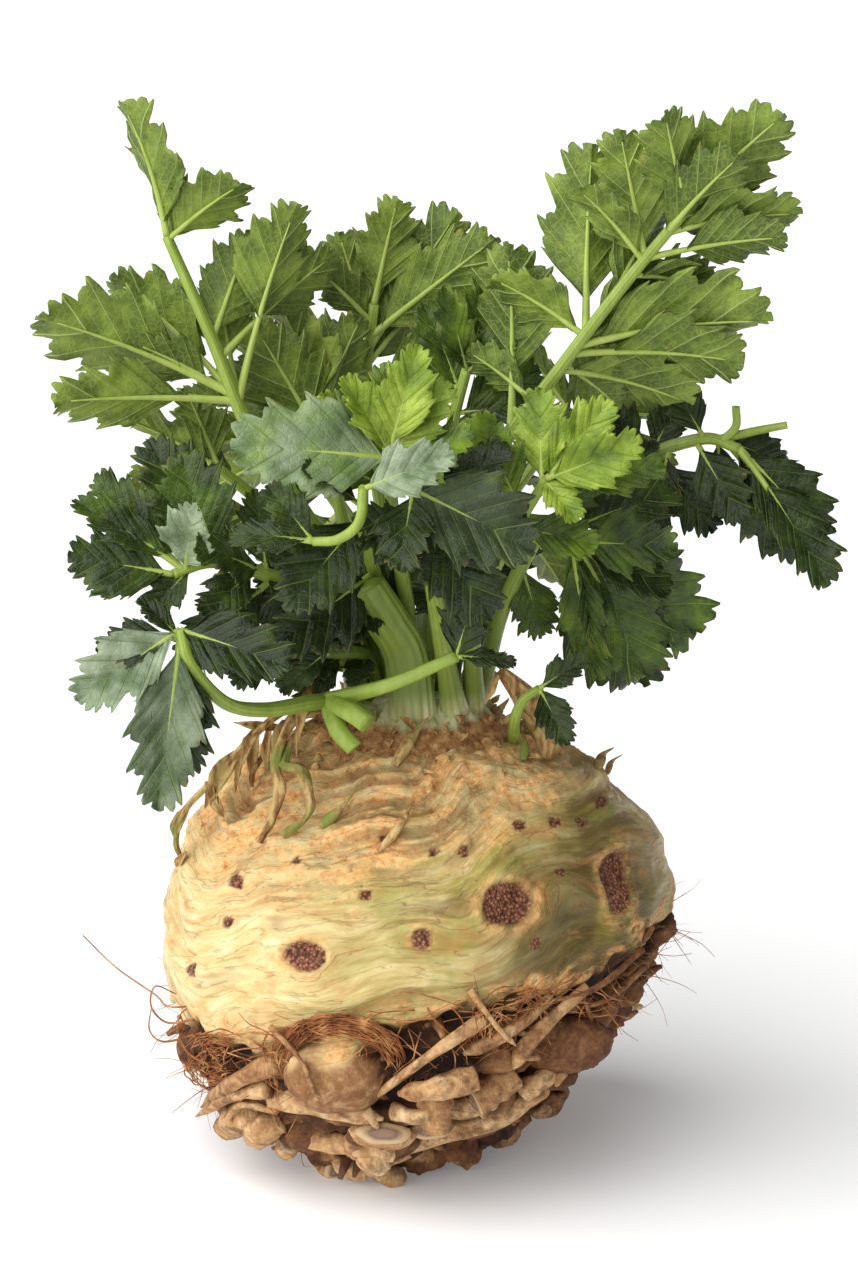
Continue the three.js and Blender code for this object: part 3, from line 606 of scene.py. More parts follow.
# Round lumps that swell out of the lower half: place as seen from the front, half sizes in mm
knobs = [
    {"at": (-19.5, 22.5), "size": (13, 9.5, 10), "pale": 1.0},
    {"at": (20.5, 25.5), "size": (5.5, 5, 5), "pale": 0.8},
    {"at": (39, 27), "size": (13, 7.5, 8), "pale": 0.6},
    {"at": (20, 13), "size": (6.5, 5, 6), "pale": 0.5},
    {"at": (4, 8), "size": (6, 5, 6), "pale": 0.5},
    {"at": (-8, 5), "size": (9, 5, 5), "pale": 0.5},
    {"at": (-45, 9), "size": (6, 5, 6), "pale": 0.7},
    {"at": (-37, 8), "size": (6, 5, 6), "pale": 0.6},
    {"at": (12, 3), "size": (9, 4, 6), "pale": 0.4},
    {"at": (34, 17), "size": (9, 4, 6), "pale": 0.4},
    {"at": (-26, 6), "size": (9, 4, 6), "pale": 0.4},
]

# Smaller lumps all over the lower half
lumps = {"count": 230, "long": (5.5, 11), "thick": (2.4, 4.4), "seed": 40}


def lumpList():
    made = []
    for knob in knobs:
        centre = onRoot(*knob["at"], -1.5) - rootCentre
        wide, tall, thick = knob["size"]
        made.append((centre, np.eye(3), np.array([wide, thick, tall]), knob["pale"], 0.06))
    for i in range(6):  # knobs like those in front, on the sides and the back
        turn = math.pi * (0.2 + 0.68 * i / 5) + 0.16 * (draw(i + 400) - 0.5)
        way = wayTo(turn, -0.5 - 0.12 * draw(i + 420))
        size = 6.5 + 3.5 * draw(i + 440)
        made.append((way * rootHalf * 0.94, np.eye(3), np.array([size * 1.2, size, size * 0.85]), 0.8, 0.1))
    for i in range(lumps["count"]):
        seed = i + 10 * lumps["seed"]
        turn = spreadTurn(i)
        drop = -0.10 - 1.15 * (i + 0.5) / lumps["count"] - 0.08 * draw(seed) + 0.2 * math.cos(turn)
        way = wayTo(turn, drop)
        out = unit(way / rootHalf)
        level = unit(np.cross([0, 0, 1], out))
        along = turned(level, out, (draw(seed + 1) - 0.5) * 1.6)
        axes = np.array([along, out, np.cross(along, out)])
        first, last = lumps["long"]
        thin, thick = lumps["thick"]
        half = thin + (thick - thin) * draw(seed + 3)
        size = np.array([first + (last - first) * draw(seed + 2), half, half * 0.9])
        centre = way * rootHalf - unit(way * rootHalf) * (2.2 + trimAt(way) + 1.6 * draw(seed + 4))
        made.append((centre, axes, size, draw(seed + 5), 0.16))
    return made


# Pushes the skin out to the surface of each lump, and says how pale the outermost lump is
def swellLumps(direction, reach, roughness):
    paleness = np.full(len(reach), 0.3)
    for centre, axes, size, pale, rugged in lumpList():
        near = direction @ unit(centre) > math.cos(1.5 * max(size) / 50)
        local = direction[near] @ axes.T / size
        middle = axes @ centre / size
        a = (local ** 2).sum(axis=1)
        b = local @ middle
        inside = b * b - a * (middle @ middle - 1)
        far = np.where(inside > 0, (b + np.sqrt(np.maximum(inside, 0))) / a, 0)
        far = far * (1 + 0.03 * rugged / 0.1 * roughness[near])
        outer = far > reach[near]
        share = np.clip(0.5 + 0.5 * (far - reach[near]) / 0.8, 0, 1)
        blended = reach[near] * (1 - share) + far * share + 0.8 * share * (1 - share)
        reach[near] = np.where(far > 0, blended, reach[near])
        paleness[near] = np.where(outer, pale, paleness[near])
    return reach, paleness


# Waves with rounded troughs and sharp crests, for the folds of the skin
def sharp(phase):
    return 1 - 2 * np.abs(np.sin(phase)) ** 0.7


def makeRootSkin():
    around, rows = rootBody["around"], rootBody["rows"]
    turn = np.arange(around) * 2 * math.pi / around
    height = np.linspace(-0.995, 0.995, rows) * math.pi / 2
    way = np.stack([
        np.outer(np.cos(height), np.cos(turn)), np.outer(np.cos(height), np.sin(turn)),
        np.outer(np.sin(height), np.ones(around)),
    ], axis=-1).reshape(-1, 3)
    proud, sway, low = relief(way)
    ringHeight = ringPlace(way)[1]
    plain = way * rootHalf + rootCentre
    seenRight = plain[:, 0]
    seenUp = plain[:, 2] * math.cos(viewTilt) + plain[:, 1] * math.sin(viewTilt)
    front = plain[:, 1] < 0

    ragged = 0.10 * layeredNoise(way * 4, 4, 3) + 0.05 * noise(way * 16, 9)
    low = 1 - smooth(ringHeight + ragged, -0.10, -0.03)

    marks = []  # how far off each scar's middle a point lies, 1 at its edge, and which way is up from there
    for spot in scars:
        (right, up), (wide, tall) = spot["at"], spot["size"]
        x, y = (seenRight - right) / wide, (seenUp - up) / tall
        marks.append((np.where(front, np.hypot(x, y), 99), y * tall, min(wide, tall)))
    for out, wide, tall in backScars():
        across = unit(np.cross([0, 0, 1], out))
        p = (way - out) * rootHalf
        x, y = p @ across / wide, p @ np.cross(out, across) / tall
        marks.append((np.where(way @ out > 0.9, np.hypot(x, y), 99), y * tall, min(wide, tall)))

    bend = np.zeros(len(way))  # rings part to pass above and below a scar
    for off, above, size in marks:
        if size > 1.55:
            bend += 0.016 * size * np.tanh(above / size) * np.exp(-(off / 2.4) ** 2)
    warp = 0.045 * layeredNoise(way * 2.2, 3, 11) + 0.02 * layeredNoise(way * 6, 3, 12)
    rings = ringHeight + 0.5 * sway + warp - bend
    strength = smooth(layeredNoise(way * 2.6, 3, 21), -0.45, 0.35)
    strength = strength * (0.3 + 0.6 * smooth(ringHeight, 0.1, 0.5))
    ridges = 0.62 * sharp(rings * 19) + 0.4 * sharp(rings * 37 + 1.3) + 0.2 * sharp(rings * 71 + 0.4)
    # painted shade in the creases between the ridges of the upper skin
    creaseShade = smooth(-ridges, 0.42, 0.72) * strength * (1 - low)
    creaseShade = creaseShade * smooth(layeredNoise(way * 4.4, 3, 24), -0.3, 0.3)
    dents = layeredNoise(way * np.array([5, 5, 9]), 4, 31)
    skin = strength * ridges * 1.0 + 0.9 * dents + 0.16 * layeredNoise(way * 34, 3, 41)
    shoulder = smooth(ringHeight + 0.18 * layeredNoise(way * 4, 3, 95), 0.45, 0.85)
    skin = skin + shoulder * (0.9 * layeredNoise(way * 15, 4, 96) + 0.5 * layeredNoise(way * 30, 3, 97))

    floor = -3.6 + 1.3 * layeredNoise(way * 9, 4, 71)
    proud = proud + skin * (1 - low) + floor * low
    scarMark = np.zeros(len(way))
    wobble = 1 + 0.07 * noise(way * 26, 81)
    for off, above, size in marks:
        d = off * wobble
        inside = 1 - smooth(d, 0.86, 1.02)
        depth = min(1.5, 0.3 * size)
        proud += np.exp(-((d - 1.14) / 0.17) ** 2) * depth * 0.75 - inside * depth * 0.5
        scarMark = np.maximum(scarMark, inside)
    proud = proud + scarMark * 0.4 * noise(way * 70, 82)

    direction = way * rootHalf
    reach = np.linalg.norm(direction, axis=1)
    direction = direction / reach[:, None]
    reach = reach + proud
    before = reach.copy()
    reach, pale = swellLumps(direction, reach, layeredNoise(way * 16, 4, 51))
    raised = smooth(reach - before, 0.4, 3.0)
    bottom = smooth(-way[:, 2], 0.9, 0.985)
    low = np.maximum(low, bottom)
    at = direction * reach[:, None] + rootCentre
    at[:, 2] = np.maximum(at[:, 2], 0)
    topness = smooth(ringHeight, 0.75, 1.15)
    facing = way @ unit(np.array([0.62, -0.78, 0.05]))
    greenish = smooth(facing, 0.1, 0.85) * (1 - topness) * (1 - 0.75 * smooth(way[:, 0], 0.72, 0.9))
    greenish = greenish * (1 - 0.75 * smooth(ringHeight, 0.55, 0.85))
    # painted shade: the side facing right and a little forward, away from the light, gets the darker olive;
    # less at the far right edge
    shade = smooth(way @ unit(np.array([0.84, -0.54, -0.05])), 0.6, 0.92)
    shade = shade * (1 - 0.6 * smooth(way[:, 0], 0.86, 0.97))
    back = smooth(way[:, 1], -0.1, 0.4) * 0.5
    greenish = np.clip(np.maximum(greenish, back) + 0.4 * layeredNoise(way * 3, 3, 91), 0, 1) * (1 - low)
    edgeBrown = np.exp(-((ringHeight + ragged + 0.02) / 0.05) ** 2)
    halo = np.max([np.exp(-((off - 1.1) / 0.35) ** 2) * (size > 2) for off, above, size in marks], axis=0)
    scurf = np.clip(shoulder + 0.9 * edgeBrown + 0.5 * halo, 0, 1) * (1 - low)
    # painted shade: the low, rough part between the lumps is darkened where no lump swells out
    deepShade = (1 - raised) * low * smooth(layeredNoise(way * 9, 3, 99), -0.9, 0.3)
    hair = 0.1 + np.exp(-((ringHeight + 0.2) / 0.13) ** 2) + 0.8 * smooth(-way[:, 0], 0.5, 0.9)
    hair = low * np.clip(hair, 0, 1) * smooth(0.9 - raised, 0.0, 0.5)

    shape = Shape()
    shape.grid(at.reshape(rows, around, 3), closedRound=True, caps=True)
    piece = shape.finish("root_skin", [looks["skin"]])
    marked = {
        "low": low, "scar": scarMark, "green": greenish, "scurf": scurf, "creaseShade": creaseShade, "deepShade": deepShade,
        "tone": pale, "hair": hair, "shade": shade, "rings": rings * 59 * mm,
    }
    for name, values in marked.items():
        piece.data.attributes.new(name, "FLOAT", "POINT").data.foreach_set("value", values)
    return piece


rootSkin = makeRootSkin()
print("root skin made:", len(rootSkin.data.polygons), "faces")


# Side roots, some cut short: places as seen on the root, in mm. lift is how far each stands off the skin,
# thick its half width at either end, and cut says that its last end shows the pale inside.

sideRoots = [
    {"path": [(16.5, 37), (3, 28), (-14.5, 13.5)], "lift": (0, 3.6, 3), "thick": (1.7, 1.1)},
    {"path": [(34, 40), (22, 33), (11, 28)], "lift": (-1, 1.6, 0), "thick": (1.8, 1.7)},
    {"path": [(12.7, 43.5), (19, 35), (24.7, 29)], "lift": (0, 3.4, 4.6), "thick": (0.95, 0.6)},
    {"path": [(42.5, 43), (34, 34), (27.5, 28), (25, 21.5)], "lift": (-0.5, 2.6, 4, 3), "thick": (1.6, 2.0)},
    {"path": [(42.5, 40), (46, 34.5), (50, 29)], "lift": (0.5, 2.5, 2.5), "thick": (0.5, 0.4)},
    {"path": [(14, 22), (5, 20.3), (-4.8, 17.6)], "lift": (3.5, 5, 5), "thick": (3.3, 2.7)},
    {"path": [(4, 18), (4.4, 13.5), (4.6, 8.5)], "lift": (-1, 3, 4.5), "thick": (4.2, 3.7), "cut": 1},
    {"path": [(23, 19), (19, 15.5), (14.5, 12.6)], "lift": (-1, 3, 5), "thick": (4.2, 4.3), "cut": 1},
    {"path": [(-35, 16.5), (-22.5, 13.5), (-8.5, 11)], "lift": (-1, 3.2, 3), "thick": (2.9, 2.3)},
    {"path": [(-9, 8), (-8.7, 7.6), (-8.5, 7.2)], "lift": (-6, 0, 4.6), "thick": (7.6, 7.2), "flat": 0.45,
     "cut": 1},
    {"path": [(3, 6.4), (3, 5.6), (3, 5)], "lift": (-6, 0, 4.4), "thick": (5.6, 5.2), "flat": 0.5, "cut": 1},
    {"path": [(8.5, 10), (15, 10.5), (22, 12)], "lift": (-1, 3.5, 3), "thick": (2.8, 2.4)},
    {"path": [(-8, 1.5), (8.5, 2), (20, 6), (35, 13)], "lift": (0, 1.5, 2, 1), "thick": (2.8, 3.0)},
    {"path": [(-27, 5.4), (-17, 3.2), (-5, 2)], "lift": (0, 2.4, 2), "thick": (2.6, 2.6), "cut": 1},
    {"path": [(-34, 25), (-46, 19), (-54.5, 11)], "lift": (0, 4, 6), "thick": (2.8, 1.3)},
    {"path": [(-36, 19), (-47, 15), (-56, 8.5)], "lift": (0, 4, 5), "thick": (2.2, 1.1)},
    {"path": [(-38, 13), (-45, 9), (-49, 4.5)], "lift": (-1, 4, 6), "thick": (4.4, 4.0), "cut": 1},
    {"path": [(-33, 10.5), (-38, 7.6), (-41.5, 4)], "lift": (-1, 3, 5), "thick": (3.8, 3.6), "cut": 1},
    {"path": [(-34, 13), (-44, 13), (-47.5, 9), (-43, 6.4)], "lift": (2, 5, 7, 6), "thick": (0.9, 0.7)},
    {"path": [(-28, 5.5), (-27, 2), (-30.5, 0.4)], "lift": (0, 1, 1), "thick": (0.9, 0.5)},
    {"path": [(-15, 7), (-17, 3), (-14, 1)], "lift": (2, 3, 2), "thick": (2.2, 1.9)},
    {"path": [(-36, 34), (-28, 26.5), (-24.5, 19), (-20, 14.5)], "lift": (1, 6, 9, 6), "thick": (0.7, 0.5)},
    {"path": [(6, 30), (-1, 25), (-6, 20)], "lift": (1, 5, 7), "thick": (0.6, 0.5)},
    {"path": [(57, 52), (45, 43), (33, 39)], "lift": (0.6, 1, 0.6), "thick": (0.8, 0.6)},
    {"path": [(60, 47), (50, 40), (43, 37)], "lift": (0.6, 1, 0.6), "thick": (0.9, 0.6)},
    {"path": [(52, 38), (44, 25), (34, 19)], "lift": (-0.5, 1.5, 1), "thick": (2.6, 2.0)},
    {"path": [(28, 15), (33, 17), (40, 18.5)], "lift": (0, 2.6, 2), "thick": (3.0, 2.6), "cut": 1},
    {"path": [(24, 9), (30, 12), (37, 15)], "lift": (0, 2.0, 2), "thick": (2.4, 2.0)},
    {"path": [(-6, 13.5), (0, 12.5), (5, 14)], "lift": (0, 3, 4), "thick": (2.2, 1.6)},
]

# Short cut roots on the sides and the back
backRoots = {"count": 74, "half": (1.8, 4.4), "long": (7, 17), "seed": 300}


def addSideRoot(shape, points, thick, seed, cut, flat=1.0, tone=0.5):
    first, last = thick
    steps = 26
    shares = np.linspace(0, 1, steps + 1)

    def radius(t, angles):
        knobbly = 1 + 0.09 * math.sin(8 * t + seed) + 0.05 * math.sin(21 * t + 2 * seed)
        half = (first + (last - first) * t) * knobbly
        bulge = 0.09 * np.cos(2 * angles + seed + 3 * t) + 0.05 * np.cos(5 * angles + 6 * t + seed)
        if cut:
            end = 1 - 0.72 * smooth(t, 0.955, 1.0)
        else:
            end = math.sqrt(max(0.06, 1 - smooth(t, 0.72, 1.01) ** 2))
        half = half * (1 + bulge)
        return half * end, half * end * flat

    heart = smooth(shares, 0.93, 0.985) * 0.45 + smooth(shares, 0.97, 1.0) * 0.55 if cut else shares * 0
    addTube(shape, points, radius, 18, steps, tone=tone, reach=np.repeat(heart[:, None], 18, axis=1))


def makeSideRoots():
    shape = Shape()
    for i, root in enumerate(sideRoots):
        points = [onRoot(right, up, lift) for (right, up), lift in zip(root["path"], root["lift"])]
        # painted shade: roots that start on the right, the side away from the light, get a darker tone
        tone = 0.45 + 0.5 * draw(i + 600) - 0.3 * smooth(points[0][0], 20, 45)  # darker on the right
        addSideRoot(shape, points, root["thick"], i, root.get("cut", 0), root.get("flat", 1.0), tone)
    for i in range(backRoots["count"]):
        seed = i + backRoots["seed"]
        drop = -0.28 - 0.95 * draw(seed + 0.1)
        way = wayTo(spreadTurn(i), drop)
        if way[1] < -0.25 and drop > -0.75:
            continue
        out = unit(way / rootHalf)
        level = unit(np.cross([0, 0, 1], out))
        along = turned(level, out, -0.5 + (draw(seed + 0.4) - 0.5) * 2.4)
        thin, thick = backRoots["half"]
        half = thin + (thick - thin) * draw(seed + 0.6)
        short, far = backRoots["long"]
        length = short + (far - short) * draw(seed + 0.8)
        base = way * rootHalf + rootCentre - out * (3 + trimAt(way))
        middle = base + along * length * 0.5 + out * (half + 1.5)
        points = [base, middle, base + along * length + out * (half + 0.5)]
        addSideRoot(shape, points, (half, half * 0.85), seed, i % 3 > 0, 1.0, draw(seed + 0.9))
    piece = shape.finish("side_roots", [looks["sideRoot"]])
    keepInside(piece)
    return piece


sideRootPiece = makeSideRoots()
print("side roots made:", len(sideRootPiece.data.polygons), "faces")


# The crown: the root's skin runs up to the close pale foot of the leaf stalks

crown = {
    # half width and height from under the skin up over the neck
    "profile": [(0.5, 99), (27, 99), (25.6, 107.5), (22, 112.6), (18.8, 116), (16.8, 118.6), (14, 121.5),
                (9, 123), (0.5, 123)],
    "rows": 64, "around": 150, "paleFrom": 116.4,
}


def makeCrown():
    shape = Shape()
    profile, rows, around = crown["profile"], crown["rows"], crown["around"]
    steps = np.linspace(0, len(profile) - 1, rows)
    radii = np.interp(steps, range(len(profile)), [p[0] for p in profile])
    heights = np.interp(steps, range(len(profile)), [p[1] for p in profile])
    turn = np.arange(around) * 2 * math.pi / around
    rings = []
    for r, z in zip(radii, heights):
        way = np.stack([np.cos(turn), np.sin(turn), np.full(around, z / 20)], axis=-1)
        folds = (0.045 * np.sin(17 * turn + 0.4) + 0.025 * np.sin(41 * turn)) * smooth(z, 112, 119)
        rough = 0.07 * layeredNoise(way * np.array([4, 4, 3]), 4, 140)
        ribbed = r * (1 + folds + rough * smooth(r, 4, 12) * (1 - smooth(z, 116, 120)))
        rings.append(np.stack([ribbed * np.cos(turn), ribbed * np.sin(turn), np.full(around, z)], axis=-1))
    places = np.array(rings)
    edge = crown["paleFrom"] + 1.4 * layeredNoise(places.reshape(-1, 3) * 0.3, 3, 150).reshape(rows, around)
    shape.grid(places, closedRound=True, caps=True, under=smooth(places[:, :, 2] - edge, -0.8, 0.8))
    return shape.finish("crown", [looks["crown"]])


crownPiece = makeCrown()


# Leaflets: side veins run forward from the midrib to a lobe or a notch of the edge.
# Each entry is where the vein leaves the midrib and how far it reaches, as shares of the blade's length.

veins = [(0, 0.5), (0.07, 0.49), (0.14, 0.62), (0.27, 0.43), (0.4, 0.54), (0.54, 0.34), (0.65, 0.37)]
blade = {
    "thick": 0.42, "toothDepth": 0.08, "teethPer": (1, 1, 1, 1, 1, 1, 2),
    "puff": 0.3, "furrow": 0.6, "across": 6,
}


# Where the blade's rows run: how far round the edge, how far out each stands, and the count of teeth so far
def toothRows():
    rows = [(k / 6, 0.0, 0.0) for k in range(6)] + [(1.0, 0.3, 0.5)]
    count = 1
    for stretch, many in enumerate(blade["teethPer"], 1):
        for k in range(many):
            rows.append((stretch + (k + 0.3) / many, -0.45, count))
            rows.append((stretch + (k + 0.5) / many, 0.1, count + 0.2))
            rows.append((stretch + (k + 0.8) / many, 0.36, count + 0.4))
            rows.append((stretch + (k + 1) / many, 0.36 if stretch % 2 else 0.05, count + 0.5))
            count += 1
    return (np.array(column, dtype=float) for column in zip(*rows))


def veinAngle(share):
    return math.radians(50 - 14 * share)


def addLeaflet(shape, base, tip, face, seed, tone, wide=0.8, fold=18, turn=0, arch=0.1, stalk=0.1, sheen=0.0):
    length = float(np.linalg.norm(tip - base))
    along = unit(tip - base)
    normal = unit(face - along * float(face @ along))
    normal = turned(normal, along, math.radians(turn + 40 * (draw(seed + 0.8) - 0.5)))
    middle = (base + tip) / 2 + normal * arch * length
    bladeLength = length * (1 - stalk)
    lean = math.radians(fold + 18 * (draw(seed + 0.7) - 0.35))
    wave = draw(seed + 0.3) * math.pi * 2

    def midrib(t):
        t = t[..., None]
        return (1 - t) ** 2 * base + 2 * t * (1 - t) * middle + t ** 2 * tip

    def frameAt(t):
        tangent = 2 * (1 - t[..., None]) * (middle - base) + 2 * t[..., None] * (tip - middle)
        tangent = tangent / np.linalg.norm(tangent, axis=-1, keepdims=True)
        up = normal - tangent * (tangent @ normal)[..., None]
        up = up / np.linalg.norm(up, axis=-1, keepdims=True)
        return tangent, up, np.cross(up, tangent)

    # rows run from the base to the tip; each row goes from the left edge over the midrib to the right edge
    ribKnots = np.array([0, 0.012] + [share for share, _ in veins[1:]] + [1.0])
    steps, pushes, teethSoFar = toothRows()
    knots = np.arange(len(veins) + 2)
    rib = np.interp(steps, knots, ribKnots)
    across = np.linspace(0, 1, blade["across"] + 1) ** 0.9
    halves = []
    for hand in (-1, 1):
        xs, ys = [0.0], [0.55 / bladeLength]
        for i, (share, reach) in enumerate(veins):
            out = reach * (1.08 - 0.16 * draw(seed + i + (20 if hand > 0 else 40)))
            out = out * (1 - 0.1 * draw(seed + 5) * (i in (3, 5)))
            xs.append(min((0.99 - stalk) / (1 - stalk), share + out * math.cos(veinAngle(share))))
            ys.append(out * math.sin(veinAngle(share)) * wide * 1.06)
        xs.append(1.0)
        ys.append(0.15 / bladeLength)
        x, y = np.interp(steps, knots, xs), np.interp(steps, knots, ys)
        outX, outY = x - rib, y
        reachTo = np.hypot(outX, outY) + 1e-6
        jitter = 0.75 + 0.5 * np.array([draw(seed + hand * 3 + k) for k in np.round(teethSoFar)])
        push = blade["toothDepth"] * pushes * jitter * (1 - smooth(steps, 7.7, 8.0))
        push = np.maximum(push, -0.6 * reachTo)
        x, y = x + push * outX / reachTo, y + push * outY / reachTo
        gridX = rib[:, None] + (x - rib)[:, None] * across[None, :]
        gridY = y[:, None] * across[None, :]
        halves.append((gridX, gridY, np.repeat(teethSoFar[:, None], len(across), axis=1)))

    (leftX, leftY, leftT), (rightX, rightY, rightT) = halves
    gridX = np.concatenate([leftX[:, ::-1], rightX[:, 1:]], axis=1)
    gridY = np.concatenate([-leftY[:, ::-1], rightY[:, 1:]], axis=1)
    teeth = np.concatenate([leftT[:, ::-1], rightT[:, 1:]], axis=1)
    reach = np.concatenate([across[::-1], across[1:]])[None, :].repeat(len(steps), axis=0)
    lobes = np.min([np.abs(steps - k) for k in (1, 3, 5, 7)], axis=0)[:, None].repeat(reach.shape[1], axis=1)
    t = np.clip(stalk + (1 - stalk) * gridX, 0, 1)
    _, up, side = frameAt(t)
    hand = np.sign(gridY)
    width = np.abs(gridY) * bladeLength
    ripple = 0.2 * np.sin(7 * t + wave + 1.5 * hand) - 0.38
    lift = width * math.sin(lean) + ripple * np.abs(gridY) ** 2 * bladeLength
    small = min(1, bladeLength / 30)
    swell = np.sin(math.pi * np.clip(reach, 0, 1) ** 0.8) * small
    lift = lift + blade["puff"] * (0.5 + 0.5 * np.cos(2 * math.pi * teeth)) * swell
    lift = lift - blade["furrow"] * np.exp(-(lobes / 0.3) ** 2) * swell
    frill = np.sin(12 * t + wave * 2 + 2.2 * hand) + 0.6 * np.sin(27 * t + wave * 3 + hand)
    lift = lift + 0.034 * bladeLength * reach ** 2.2 * frill
    middleSheet = midrib(t) + side * (width * hand * math.cos(lean))[..., None]
    half = blade["thick"] / 2 * (1 - 0.35 * reach ** 4)
    top = middleSheet + up * (lift + half)[..., None]
    bottom = middleSheet + up * (lift - half)[..., None]
    shade = tone + 0.10 * (draw(seed + 7) - 0.5)
    shape.sheet(top, bottom, tone=shade, veins=teeth, lobes=lobes, reach=reach, sheen=sheen)

    # the leaflet's own stalk, which runs on below the blade as its midrib
    ends = [midrib(np.array(s)) - frameAt(np.array(s))[1] * 0.25 * smooth(s, 0, stalk + 0.1) for s in
            np.linspace(0, 0.9, 9)]
    thick = 0.55 + 0.012 * length

    def ribRadius(s, angles):
        r = (thick * (1 - s) + 0.16 * s) * (1 + 0.06 * np.cos(5 * angles))
        return r, r

    addTube(shape, ends, ribRadius, 8, 22, frameAt(np.array(0.0))[2], 1, tone=0.55 + 0.3 * shade, along=0.6)


upperFace = (0, -0.8, 0.6)  # the leaf's upper side faces the front
lowerFace = (0, 0.85, 0.5)  # its underside faces the front
backFace = (0, 0.6, 0.8)


# at counts along a stem's places: 0 is the foot, 2.5 is half-way from the second to the third
def leaflet(at, tip, wide, **shape):
    return {"at": at, "tip": tip, "wide": wide, **shape}


